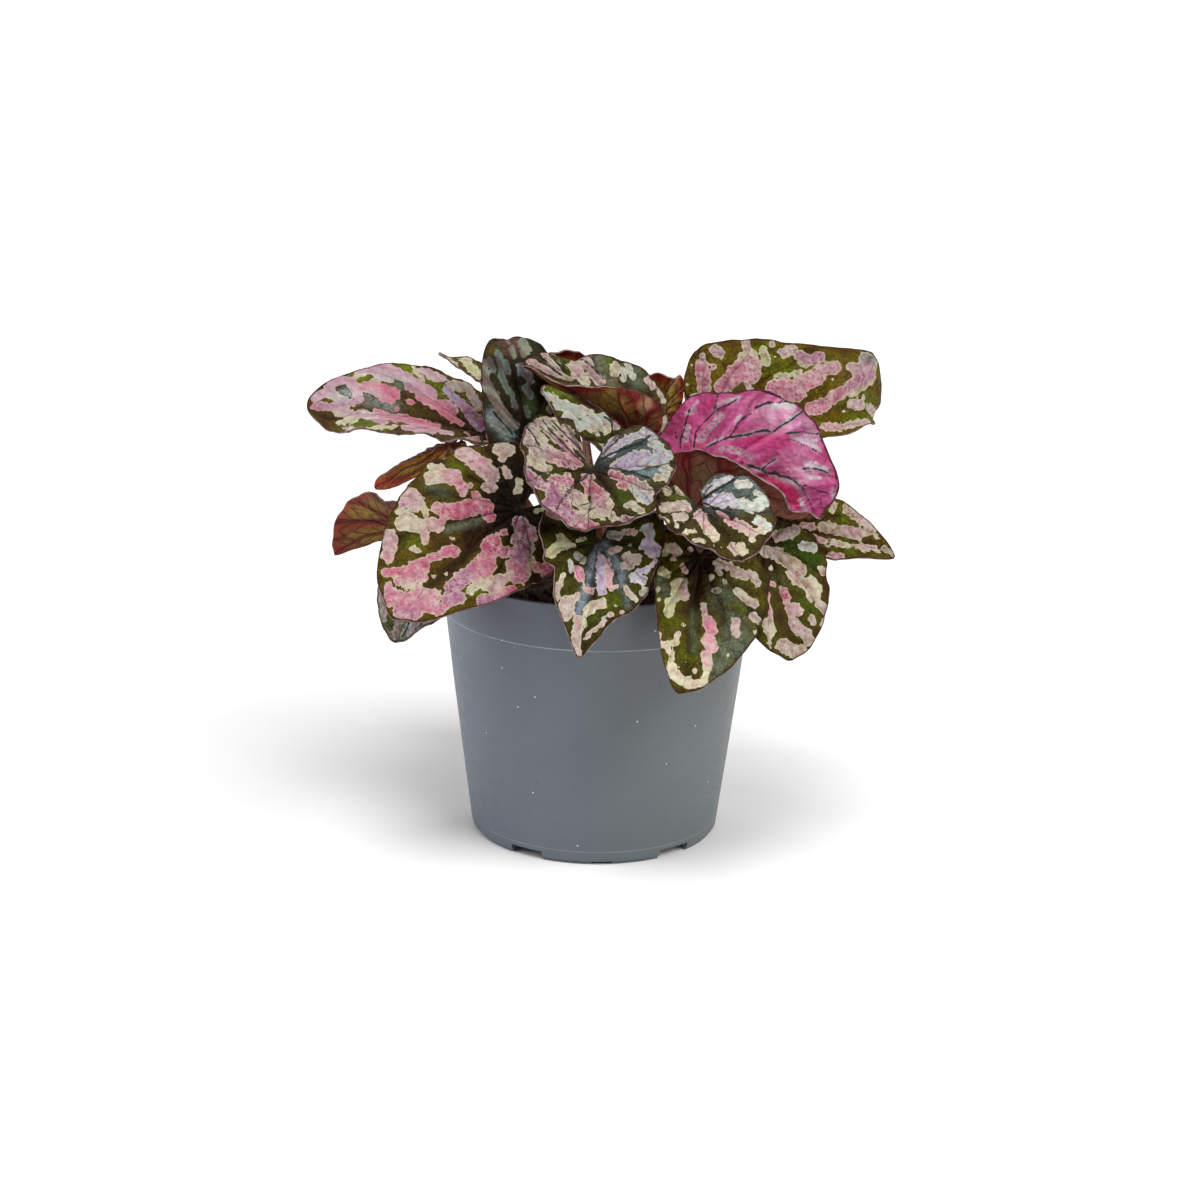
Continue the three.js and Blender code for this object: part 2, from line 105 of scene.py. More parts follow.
# The blade's margin and its net of veins.
TOOTH_RATE, TOOTH_DEPTH = 61, 0.012  # radians of their wave to each half, and a share of the reach
CLEFT_START, CLEFT_FADE, CLEFT_DEPTH = 0.9, 0.1, 0.1
MARGIN_SLANT = 0.8  # the way to the margin, as a share of the way along the ray
SIDE_VEIN_SLANT = 1.25
SIDE_VEIN_GAP, SIDE_VEIN_GAP_GROWTH = 2.2, 0.085  # in mm, and for each mm of the blade's length
VEIN_SWAY = 0.35

# A blade's own relief: how deep or high each form stands, and its half width or its spacing.
VEIN_DEPTH, VEIN_WIDTH = 0.85, 0.9
SIDE_VEIN_DEPTH, SIDE_VEIN_WIDTH = 0.2, 0.6
HILL_HEIGHT, HILL_SIZE = 0.42, 7
DIMPLE_HEIGHT, DIMPLE_SIZE = 0.16, 2.6
SWELL_HEIGHT = 0.5
MARGIN_WAVE, MARGIN_WAVE_RATE = 0.55, 37
KNOB_HEIGHT, KNOB_SIZE = 0.35, 1.8

# The hairs are drawn about three times as thick as real ones, so that they show.
HAIRS_PER_MM = 4.5
HAIR_LENGTH = (0.9, 2.0)
HAIR_RADIUS = 0.07
HAIR_ROOT = 0.25  # how far a hair starts inside the stalk

# How finely the blades are meshed, in millimetres between vertices: those that the camera sees, and the rest.
FRONT_GRAIN = 0.72
BACK_GRAIN = 1.0

# The photograph's camera, in mm, degrees and pixels, as matched to the ellipses of the pot's lip and foot.
CAMERA_ELEVATION = 16.81
CAMERA_ROLL = -0.994
CAMERA_TARGET = (0.91, 0.0, 88.45)
CAMERA_DISTANCE = 1000.0
PHOTO_SIDE = 1200
FOCAL_PIXELS = 2645.0
PIXEL_SIZE = CAMERA_DISTANCE / FOCAL_PIXELS  # in mm, at the pot's axis
SENSOR = 36.0

# Where the main veins leave the junction, as shares of the way round each half from the tip to the notch.
RIBS = np.array([-0.95, -0.77, -0.57, -0.37, -0.18, 0, 0.18, 0.37, 0.57, 0.77, 0.95])
BEYOND_RIBS = 1.14

MOST_PULL = 0.3  # the furthest that a margin is drawn from the even outline, as a share of its reach
PULL_FADE = 0.06
PULL_BLUR = 0.012

# A stroke as wide as LOBED_FROM gets bumps, which widen it, so it is drawn to LOBED_SHARE of its width.
LOBED_FROM = 1.3
LOBED_SHARE = 0.9
BUMP_SPACING = 1.7
BUMP_RADIUS = 2.4
BUMP_SHARE = (0.38, 0.62)  # of the band's half width

# The patches left to chance: shares of the way out where they lie, then their half widths, in mm.
SPOT_COLORS = ["pink", "salmon", "dusty", "cream", "taupe", "mauve", "lime"]
SPOT_FIRST = (0.16, 0.4)
SPOT_LENGTH = (0.04, 0.3)
SPOT_LAST, SPOT_END = 0.92, 0.94
SPOT_PAUSE = (0.05, 0.2)
SPOT_SHARE = (0.18, 0.34)  # of the sector's width there
SPOT_SMALLEST, SPOT_LARGEST = 0.6, 3.8
SPOT_CLEARANCE = 5.5  # from the listed strokes
TWO_LANES = 7  # the width in mm from which a sector may have two rows of spots

# The leaves, each from where its stalk leaves the soil to how its blade lies. What a row leaves out is a
# default. Lengths are in mm, angles in degrees, and a pair is the blade's left half and its right.
LEAF_DEFAULTS = dict(
    roll=0, lobe=[16, 16], lift=[12, 12], cup=[25, 25], curl=[0, 0], bend=32, droop=0, sweep=0, twist=0,
    full=1.6, point=0, fine=1.0,
)
LEAVES = [
    dict(name="leaf_centre", foot=[2, -15], at=[-3, -51, 152], heading=-91, pitch=-22, roll=6, length=34,
         wide=[31, 27], lobe=[28, 34], lift=[20, 25], cup=[10, 10], bend=15, full=1.9),
    dict(name="leaf_right_small", foot=[15, -14], at=[37, -57, 140], heading=-66, pitch=-18, roll=-6,
         length=32, wide=[25, 19], lobe=[17, 23], lift=[20, 15], cup=[15, 20], bend=5, full=1.5, twist=-10),
    dict(name="leaf_front", foot=[0, -22], at=[0, -60, 128], heading=-96, pitch=-30, roll=11, length=48,
         wide=[25, 23], lobe=[19, 20], lift=[15, 25], cup=[15, 10], bend=15, droop=5, full=1.3, point=2,
         twist=-5),
    dict(name="leaf_front_right", foot=[12, -22], at=[36, -55, 122], heading=-94, pitch=-42, roll=12,
         length=53, wide=[29, 16], lobe=[12, 8], lift=[5, 10], cup=[40, 25], bend=20, sweep=-0.05),
    dict(name="leaf_low_right", foot=[24, -11], at=[60, -33, 121], heading=-59, pitch=-45, roll=-2,
         length=45, wide=[23, 25], lobe=[9, 12], lift=[10, 10], cup=[20, 25], bend=25, sweep=-0.05,
         twist=5),
    dict(name="leaf_right", foot=[27, -2], at=[68, -3, 118], heading=-23, pitch=5, roll=-29, length=43,
         wide=[21, 16], lobe=[11, 12], lift=[15, 10], cup=[20, 20], bend=30, full=1.3, twist=5, point=2),
    dict(name="leaf_big_left", foot=[-12, -15], at=[-28, -32, 132], heading=-128, pitch=-15, roll=23,
         length=74, wide=[27, 37], lobe=[25, 33], lift=[5, 15], bend=10, sweep=0.05, full=1.7),
    dict(name="leaf_low_left", foot=[-27, -5], at=[-54, -34, 112], heading=-127, pitch=-23, roll=7,
         length=38, wide=[21, 23], lobe=[12, 12], lift=[15, 10], cup=[15, 20], bend=35),
    dict(name="leaf_left_under", foot=[-28, 3], at=[-71, 0, 114], heading=159, pitch=0, roll=-47,
         length=32, wide=[28, 7], lobe=[9, 12], lift=[0, 20], cup=[10, 20], bend=45, sweep=-0.1, twist=20,
         full=1.4),
    dict(name="leaf_left_high", foot=[-20, 13], at=[-57, 16, 144], heading=161, pitch=-30, roll=-27,
         length=38, wide=[8, 12], lobe=[6, 5], lift=[0, 10], cup=[15, 40], bend=5, sweep=-0.05),
    dict(name="leaf_far_left", foot=[-13, 4], at=[-42, 21, 146], heading=-172, pitch=19, roll=15,
         length=71, wide=[23, 30], lobe=[7, 12], lift=[20, 10], cup=[-5, 15], bend=30, droop=-15,
         sweep=-0.05, twist=-25, full=1.8),
    dict(name="leaf_back_left", foot=[-12, 20], at=[-39, 56, 158], heading=141, pitch=22, roll=-8,
         length=34, wide=[9, 14], lobe=[9, 12], lift=[10, 10], cup=[10, 15], bend=20, droop=-10, full=1.8,
         twist=-5),
    dict(name="leaf_upright", foot=[-5, 2], at=[-27, 2, 148], heading=109, pitch=69, roll=2, length=53,
         wide=[16, 18], lobe=[10, 11], lift=[15, 10], cup=[15, 25], bend=60, sweep=-0.05, twist=-10,
         full=2.1),
    dict(name="leaf_top", foot=[3, 5], at=[14, 14, 150], heading=184, pitch=34, roll=16, length=45,
         wide=[24, 26], lobe=[6, 10], lift=[50, 35], cup=[0, 20], bend=15, curl=[70, 0], twist=-25,
         full=1.7),
    dict(name="leaf_top_lower", foot=[4, -5], at=[8, -13, 150], heading=171, pitch=38, roll=19, length=38,
         wide=[17, 9], lobe=[13, 9], lift=[25, 10], cup=[0, 15], bend=20, droop=-15, sweep=-0.1, twist=-20,
         full=1.7),
    dict(name="leaf_back_red", foot=[9, 18], at=[20, 45, 149], heading=-50, pitch=66, roll=13, length=24,
         wide=[11, 19], lobe=[5, 5], lift=[20, 25], cup=[25, 10], bend=30, full=1.8, twist=-10),
    dict(name="leaf_top_right", foot=[15, 7], at=[39, 26, 150], heading=2, pitch=16, roll=-36, length=82,
         wide=[33, 24], lobe=[5, 19], lift=[30, 15], cup=[10, 15], bend=30, droop=70, sweep=0.05),
    dict(name="leaf_magenta", foot=[18, -4], at=[34, -17, 133], heading=-23, pitch=6, roll=-8, length=53,
         wide=[48, 26], lobe=[21, 13], lift=[50, 65], cup=[15, 0], bend=30, twist=15, full=1.8,
         fine=0.75),
    dict(name="leaf_young", foot=[-4, 11], at=[-14, 38, 162], heading=-90, pitch=75, length=17,
         wide=[14, 14], lobe=[5, 5], lift=[10, 10], bend=30),
    dict(name="leaf_back_low_left", foot=[-18, 27], at=[-40, 48, 117], heading=142, pitch=-12, length=48,
         wide=[22, 24], lift=[10, 10], bend=30),
    dict(name="leaf_back_low", foot=[3, 31], at=[2, 61, 116], heading=92, pitch=-22, length=40,
         wide=[22, 24], lift=[10, 10], bend=30),
    dict(name="leaf_back_low_right", foot=[22, 16], at=[43, 37, 121], heading=28, pitch=-14, length=50,
         wide=[24, 24], lobe=[14, 16], lift=[10, 10], bend=30),
    dict(name="leaf_back_right", foot=[11, 26], at=[26, 64, 136], heading=68, pitch=-2, length=40,
         wide=[21, 21], lobe=[14, 14], lift=[10, 10], bend=30),
    dict(name="leaf_back_top", foot=[1, 20], at=[-6, 56, 146], heading=90, pitch=8, length=38,
         wide=[22, 24], lift=[15, 15], bend=40),
]

# --------------------------------------------------------------------------------------------------------
# The painting of the blades
# --------------------------------------------------------------------------------------------------------
PIGMENTS = {
    "hot": "c2647e",
    "pink": "c27c8f",
    "rose": "c4a2ae",
    "ash": "b4aaa9",
    "salmon": "c5969b",
    "dusty": "bda19d",
    "mauve": "aa728c",
    "plum": "854f68",
    "lilac": "b7abc6",
    "silver": "b3bcc2",
    "mint": "b8c6b8",
    "cream": "c4bfa0",
    "lime": "b3ba84",
    "taupe": "ad9f91",
    "tan": "a6947a",
    "smoke": "7f8078",
    "pale": "bb9cab",
}
# One pigment has no lime rim and is streaked along the veins, and the name of one stands for the dark stains.
RIMLESS, INK = "pale", "slate"

# Strokes of the patches on the leaves that the photograph shows: a pigment, the stroke's half width in mm,
# and the photograph's pixels that it runs through. A stroke of one pixel is a dot.
PATCHES = {
    "leaf_big_left": """
    taupe 3 500,450 508,451; taupe 2 503,458; cream 1.2 481,444; cream 1.2 489,442; cream 0.8 450,451; dusty
    3.2 462,454 472,458; salmon 3.6 474,461 484,467; dusty 3.6 484,470 491,476; dusty 2.2 486,488 492,488;
    pink 1.4 443,457; cream 3.4 432,478 438,476; cream 1.8 432,468 441,469; salmon 3.4 444,476 454,478; pink
    2.4 459,484 463,491; pink 1.3 470,487; salmon 2.4 436,508 440,510; hot 3.6 446,512 458,511; hot 3.6
    458,512 472,507; hot 3.4 474,506 486,507; hot 2.4 486,514 490,518; hot 1.8 475,495 476,498; cream 2.8
    401,524 414,527; cream 2.8 414,524 424,526; salmon 2.8 428,524 438,526; salmon 1.8 424,532 425,541; dusty
    4 409,497 415,503; cream 2 400,512 410,517; mauve 2.2 404,505; lime 1.4 424,508 426,515; dusty 3 388,536
    390,548; mauve 2 393,540; salmon 1.8 384,556 390,560; hot 0.9 452,539; cream 1.4 413,549 418,551; cream
    0.5 402,549; hot 2.6 446,552 454,552; pink 1.9 430,559 442,555; pink 1.7 412,565 428,560; hot 2.1 386,573
    404,572; hot 2.3 404,572 424,568; salmon 2.5 408,579 422,578; pink 1.9 398,583 404,580; cream 1.7 404,585
    416,585; pink 4 392,598 404,602; pink 4.4 404,606 420,600; salmon 3.8 420,596 432,598; mauve 3.2 400,612
    414,613; pink 2.5 424,608 436,608; pink 1.9 388,586 390,596; pink 2.3 438,611 448,604; mauve 2.6 450,601
    460,598; mauve 3 448,600 452,592; mauve 3.4 452,588 460,581; mauve 3.4 460,580 472,573; pink 3.6 474,572
    482,564; hot 3.6 484,562 490,554; hot 3.2 488,546 494,542; hot 2.4 494,552 506,552; hot 1.2 497,535; hot
    1.5 504,533; hot 3 484,573 490,567; cream 1.9 470,591 478,585 484,581; cream 1.7 484,588 492,580; dusty
    2.8 492,588 500,580; mauve 2.6 482,601 494,599; pink 2.8 494,600 506,597; hot 2.1 506,592 512,590; plum
    3.4 520,524 524,536; plum 3.8 520,540 526,548; mauve 3.6 517,554 522,560; pink 3.6 514,566 522,572; pink
    2.8 516,578 522,578; mauve 2.2 530,530 532,538; lime 1.5 532,560 530,568; cream 1.5 510,572 506,580; hot
    2.3 537,568 544,570; hot 2.6 546,568 554,566; pink 1.9 544,575 549,576; salmon 0.8 446,574; salmon 0.9
    433,577; cream 0.6 441,593
    """,
    "leaf_far_left": """
    rose 2.2 315,398 325,393; ash 1.9 331,394 338,398 346,402; mauve 1.6 314,407 326,407; rose 1.8 330,407
    342,406 350,404; rose 1.8 328,387 342,380 351,382; rose 2.1 352,384 356,392 360,400; cream 0.96 354,378
    362,374; rose 1.8 360,372 372,370; rose 2.4 374,370 386,369 394,372; ash 2.1 378,376 390,378; cream 0.8
    372,380 378,383; pink 1.9 358,388 370,386 378,388; rose 1.6 370,391 380,394; hot 2.2 382,389 390,392
    396,395; pink 1.4 382,399 392,401; hot 1 397,394; pink 1.2 397,409; rose 2.1 396,372 408,378 416,384; ash
    1.6 400,377 412,382; mauve 2.1 409,386 418,391; rose 2.2 414,385 425,389 433,395; pink 2.1 420,397
    430,402 438,406; hot 2.1 436,404 444,412 452,418; pink 1.6 446,403 454,411; hot 1.4 456,421 461,424; hot
    1.1 408,402 413,403; salmon 0.5 411,409; cream 0.8 413,367 417,375 424,380; rose 1.5 421,371 432,375
    443,379; dusty 1.1 428,378 438,380; taupe 2.2 451,386 462,388; lilac 1.8 446,390 454,398 460,404; taupe
    1.9 466,386 472,396 478,408; mauve 1.8 460,402 466,410 470,418; plum 1.8 471,411 478,420 482,426; lilac
    0.96 468,416 474,425 480,430; dusty 1.3 466,380 474,384; cream 0.8 332,412 345,417 358,419; rose 1.4
    340,413 352,414 362,416; rose 1.9 364,415 374,418 384,421; pink 1.6 376,413 388,417 396,420; cream 1
    338,423 348,422 357,421; rose 0.8 344,429 354,430 362,429; cream 0.8 368,430 380,428 396,427; pink 1.9
    402,418 414,423 426,427; hot 1.3 412,420 426,424 438,428; rose 1.3 404,428 420,430 434,432; rose 0.9
    440,432 452,434; salmon 0.5 360,409
    """,
    "leaf_centre": """
    taupe 2.6 527,432 536,426 546,423; cream 1.8 534,432 544,441; taupe 2.5 528,442 538,448; tan 2.1 548,430
    556,438; pink 1.8 558,440 568,449; pink 1.5 568,451 580,464; dusty 1.5 560,430 572,441 582,452; salmon
    1.2 568,434 579,447 588,460; cream 1.1 554,421 557,426; tan 1.1 565,427 572,434; taupe 2.5 534,452
    546,456; dusty 2.5 546,450 556,456; pink 2.3 552,458 564,463; pink 1.8 562,457 574,466; cream 2.5 530,460
    540,464; cream 1.8 540,467 548,469; mauve 1.9 526,470 532,478; mauve 2.3 532,480 542,486; pink 1.3
    538,478 546,484; mauve 2.5 548,485 554,492; pink 2.5 554,481 566,482; pink 1.9 566,478 570,486; mauve 3
    552,494 564,504; mauve 3 548,504 558,512; mauve 3.3 562,510 572,518; pink 2.8 556,516 566,522; pink 2.5
    572,522 584,526; hot 1.8 590,524 596,528; dusty 2.5 566,495 578,498; cream 1.9 574,500 584,508; cream 2.1
    584,503 590,512; cream 1.7 590,508 594,516; cream 1.3 598,512 603,518; dusty 1.9 580,516 586,522; hot 2.5
    586,481 592,488; hot 2.8 590,490 600,494; pink 2.5 598,498 602,506; dusty 2.5 596,502 606,512; cream 1.7
    606,498 610,506; cream 1.7 608,513 614,518; dusty 1.2 584,476 592,478; hot 1.9 612,474 622,478; pink 2.1
    622,480 634,482; hot 1.7 620,486 626,486; dusty 1.8 634,484 644,486; mint 2.3 634,488 640,496; silver 2.3
    640,494 648,500; taupe 1.8 644,488 650,492; cream 1.1 626,506 634,504; cream 1.5 634,508 642,512; mauve
    1.8 624,519 636,522; lilac 1.2 604,455 609,446 616,437; lilac 1.5 609,455 619,446 628,440; silver 1.8
    628,440 638,436 644,434; silver 2.3 644,433 654,437; mint 1.9 652,444 660,447; silver 2.3 658,452
    668,456; lilac 2.3 622,462 634,457 646,456; lilac 1.9 614,467 628,466 642,466; silver 2.5 644,463 656,460
    664,462; mint 1.4 662,470 668,474; cream 1.4 656,478 664,478 672,482; cream 1.2 670,470; slate 0.5
    594,466 606,468 620,470 636,474 650,479; slate 0.55 596,463 608,456 622,450 634,446 642,443 650,436;
    slate 0.42 600,456 603,447 609,438 616,430; slate 0.38 606,452 613,445 618,440; slate 0.42 542,421
    552,433 562,443 574,455 586,465; slate 0.42 551,421 566,436 580,450 590,462; slate 0.38 545,436 556,446
    566,452; slate 0.42 526,427 533,436 539,446; slate 0.38 562,462 566,470; slate 0.38 568,463 571,471;
    slate 0.38 573,465 576,472; slate 0.42 527,466 537,474 547,482; slate 0.38 580,506 590,503; slate 0.38
    588,511 595,508; slate 0.38 592,470 584,480 572,486 566,492; slate 0.38 594,470 600,480 606,492
    """,
    "leaf_right_small": """
    cream 1.5 664,487 668,493; cream 1.4 676,484 680,493; cream 0.6 685,497; taupe 2.1 664,509 674,507
    685,506; dusty 1.2 688,510; taupe 1.8 676,518 684,518; cream 1.1 677,526; cream 0.8 659,518 668,522;
    cream 0.9 682,536 687,532 694,532; taupe 0.9 693,542 700,541; dusty 2.1 698,516 704,523 708,530; cream
    2.1 708,531 715,538; mauve 1.1 699,512 704,517; cream 0.7 714,546; cream 0.7 721,548; cream 1 704,543;
    pink 1.1 720,513 727,518; hot 1.1 727,521 731,524; dusty 2.3 737,525 746,529 752,534; mint 2.1 758,521
    768,528; cream 1.7 764,531 756,532; cream 1.7 752,540; dusty 1.7 731,547 735,552; cream 1.8 740,546
    744,552; silver 1.6 707,491 716,484 730,479; mint 1.8 738,485 748,485; mint 1.4 757,493 764,498; lilac
    1.8 705,503 714,502 724,505; silver 2.3 724,499 736,504; mint 2.5 742,504 752,508 760,505; mint 1.8
    763,499 766,504; lilac 1.2 716,497 730,496; slate 0.6 702,503 716,509 730,514; slate 0.6 703,500 712,493
    722,487 734,480; slate 0.45 706,492 712,486
    """,
    "leaf_front": """
    lime 2.4 550,553 558,547 566,545; lime 1.8 560,538 562,545; cream 1.4 566,546 573,546; lime 0.9 577,541
    584,539; smoke 1.6 576,555 583,560; lilac 2 602,560 601,575 602,592; salmon 1.6 607,562 610,574 608,584;
    pink 1.4 585,590 592,592; salmon 1 611,589 617,587; lilac 0.8 599,553; pink 2.1 577,570 580,578; cream
    0.6 583,584; silver 0.9 570,562 571,572; cream 0.9 563,575 561,580; taupe 1.7 559,584 556,592 557,597;
    taupe 3.2 567,603 565,614; taupe 1.5 572,600 577,597; taupe 2 578,620 577,632; taupe 2.1 576,636 576,646;
    dusty 1.3 578,650 580,657; cream 2.2 587,612 593,606 602,604; cream 1.3 583,619 585,626; dusty 0.9
    586,638 592,631 600,626 606,621; dusty 1.5 610,615; lilac 0.9 604,619; lime 0.8 615,606; salmon 0.9
    621,613; smoke 1.8 610,535 620,536; dusty 1.5 624,532 634,533; silver 2 645,529 651,534; lilac 1 644,530
    650,526; lilac 3.2 648,545 654,551; lilac 1.4 641,548; lilac 1 655,561 652,565; dusty 1.5 612,552
    618,549; smoke 0.8 630,546; taupe 2.4 627,558 636,560; taupe 1.8 624,566 630,567; silver 2.2 634,577
    642,581; lilac 1.4 640,572 648,570; taupe 1.2 626,588 630,594 633,598; cream 0.9 636,601; smoke 1.5
    642,594 646,591; tan 0.9 551,557 545,552
    """,
    "leaf_front_right": """
    lime 1.9 665,553 668,549; taupe 2 672,548 677,553; cream 1 673,559; salmon 0.9 663,545; salmon 1.1
    690,550; lime 1.7 661,571 667,575; salmon 1.1 683,566 685,571; lime 1.1 658,590; lime 0.9 659,600; dusty
    2.2 682,583 684,596; lime 2.1 676,584 676,598; lime 2.4 670,603 669,612; cream 1 683,625; dusty 1.6
    678,634; dusty 1.4 659,635; dusty 1.7 660,645 667,646; lime 1.6 668,644 676,642; lime 1.7 671,653; cream
    1.7 670,663 674,668; cream 2.3 672,672 680,680 690,684; cream 1.9 694,684 704,683; dusty 1.4 695,671;
    cream 0.7 685,664; dusty 1.4 704,606 705,614; pink 2.5 708,622 712,631; salmon 2.7 708,640 711,648; dusty
    2.3 706,656 708,664; cream 1.3 707,670 706,677; dusty 1.8 736,621 735,628 736,634; cream 1.9 737,592
    742,596; taupe 2 748,601 754,604; taupe 1.7 752,616 758,621; cream 1 756,632; cream 1.2 711,578; smoke 1
    724,582; taupe 1.9 718,563 730,567; taupe 2.3 735,572 745,576; taupe 1.8 750,574 757,583; taupe 1 716,571
    721,574; smoke 1.2 713,591 718,590; cream 0.7 727,656; cream 0.7 735,664
    """,
    "leaf_low_right": """
    taupe 2.4 778,536 788,534 795,531; mint 2.2 803,546 812,548; taupe 2.6 766,552 778,553; tan 3 782,558
    792,565 800,571; dusty 1.8 790,574 797,578; tan 2.4 797,580 806,585; cream 2.6 810,582 816,590; cream 2.2
    815,594 811,597; cream 1 771,569; salmon 1 770,584 774,585; salmon 0.6 779,585; tan 1.4 821,568 823,573;
    hot 1.9 783,591 786,598; salmon 1.8 788,605 791,614; salmon 1.8 794,606 798,613; cream 0.9 802,610; dusty
    2.6 793,622 799,630; taupe 2.2 806,633 808,641; taupe 2.8 782,645 790,650; tan 2 796,655 802,648; hot 1.1
    766,593 767,603; pink 1.3 769,608 770,614; cream 2.4 768,623 770,632; cream 1.1 769,641; taupe 2 819,604
    825,611; taupe 1.3 811,618 814,623; taupe 1.3 822,624 826,619; cream 0.7 764,649; cream 0.7 770,649;
    cream 0.7 815,640; cream 0.7 808,650
    """,
    "leaf_right": """
    cream 1.4 834,505 833,510; tan 2.6 849,508 854,514; dusty 2.4 860,519 868,522; tan 1.8 876,527 880,522;
    salmon 1.6 803,525 812,527; tan 2.4 824,527 836,530; dusty 2.6 844,531 858,534; tan 1.8 866,533 872,531;
    salmon 1.2 812,538 824,541; cream 1.3 832,543 848,546; dusty 1.4 858,547 874,548; tan 1.4 884,549
    894,554; salmon 1.5 830,555 842,558; cream 0.9 877,538; cream 0.8 863,551; cream 0.8 876,552; cream 1
    828,547
    """,
    "leaf_top_right": """
    pink 3 702,366 703,376 704,388; dusty 1.3 702,356 704,360; dusty 2.2 714,350 720,354; pink 1.5 714,367;
    dusty 2 746,341 747,350; lime 1.9 742,356 752,354; lime 1.9 763,350 766,362; pink 3.5 722,386 732,380;
    pink 4.3 736,374 746,367; salmon 3.7 753,366 752,376; salmon 2.2 742,362 754,359; pink 1.2 747,384
    751,391; dusty 1.5 772,344; dusty 2.4 784,353 792,350; mauve 2.4 800,356 810,361 820,357; lime 0.9
    806,367 798,362; pink 3.5 774,388 786,386; pink 3.5 788,393 798,394; lime 1 776,376 788,376 800,372;
    salmon 2.8 800,382 812,376 824,370 834,368; pink 1.9 808,386 820,380; pink 3.2 812,409 824,405; pink 2.8
    832,398 842,392; mauve 2.8 850,386 862,379; mauve 3 866,366 868,375; smoke 2.6 864,358 872,362; dusty 2.2
    851,366 858,373; lime 0.9 852,394 866,386 872,380; dusty 2.4 852,404 860,405; dusty 1.9 869,408 872,412;
    dusty 1 863,398; salmon 1.8 824,427 840,428; dusty 1.6 846,426 866,422; cream 0.8 843,413; cream 0.7
    833,380; cream 0.7 775,357; cream 0.6 692,366; cream 0.6 687,384
    """,
    "leaf_upright": """
    taupe 2.4 522,344 526,350; tan 1.6 524,355; dusty 1 508,342; taupe 1.1 512,349 515,357; smoke 1.5 498,353
    501,365 502,378 506,388 512,395; smoke 1.2 506,364 508,372; taupe 2.4 487,385 492,394 498,404; taupe 2.6
    500,408 506,418 512,425; taupe 1.6 485,364 486,376; smoke 1.4 490,361 494,371; smoke 1.1 512,401 516,408;
    smoke 1.6 521,366 525,375; ash 1.8 527,372 530,382; smoke 1.6 526,388 531,396; silver 0.7 518,366
    519,375; smoke 1.1 526,409 528,415; mint 1.5 492,421 500,431 508,436; silver 1.1 490,414 495,419; slate
    0.5 494,412 502,422 512,434
    """,
    "leaf_top": """
    dusty 1.4 530,361 540,367 552,373; dusty 0.9 556,375 572,380; dusty 1.1 543,353 550,363 558,371; taupe
    0.9 560,374 568,379; cream 0.7 558,362 561,367; dusty 2.6 574,366 578,374; cream 2 583,378 586,383; taupe
    1.8 584,364 590,370; dusty 2.2 592,374 600,381; dusty 1.4 589,361 591,365; taupe 1.1 580,356 585,357;
    cream 2 615,366 615,373; mint 1.3 623,371 624,380; mint 1.4 628,365 630,372 633,377; dusty 1.5 647,380
    653,387; dusty 0.9 658,392 664,402; slate 0.6 534,353 544,360 554,370 562,376; slate 0.5 550,352 556,362
    564,370; slate 0.45 584,360 594,369 604,380; slate 0.45 592,356 595,366
    """,
    "leaf_top_lower": """
    dusty 1.8 536,379 541,387; silver 1.5 541,393 548,399; cream 1.5 553,396; mint 2.5 558,404 568,408
    580,412; dusty 1.4 583,409 590,413; mint 2.1 566,417 574,423 580,428; mint 2.6 586,424 596,420 604,420;
    cream 1.8 590,429 598,428; cream 1.5 606,432 610,427; dusty 1.3 613,421 617,428; taupe 0.9 597,434; lilac
    1.6 537,402 537,412; silver 1.4 545,410 549,415; slate 0.7 543,403 540,410; slate 0.5 604,417 611,422
    612,431; slate 0.5 595,433 603,426
    """,
    "leaf_low_left": """
    ash 2.6 381,592 379,602; ash 1.8 384,611 383,618; taupe 1.3 396,625 403,620; taupe 2 393,636 400,631; ash
    0.6 406,629 402,638; silver 2.4 412,628 413,636; ash 1.8 420,624 416,630; silver 2 426,622 424,628; ash
    2.6 438,620 444,618; silver 1.4 434,626 444,626; slate 0.45 410,622 407,630 403,637; slate 0.45 426,619
    420,626 416,630; slate 0.5 436,627 441,628; slate 0.4 443,618 444,619; slate 0.5 388,633 391,635
    """,
    "leaf_back_left": """
    taupe 1.1 447,360 455,366; lime 1.9 466,363 472,369 478,375; cream 1.1 462,361 470,361
    """,
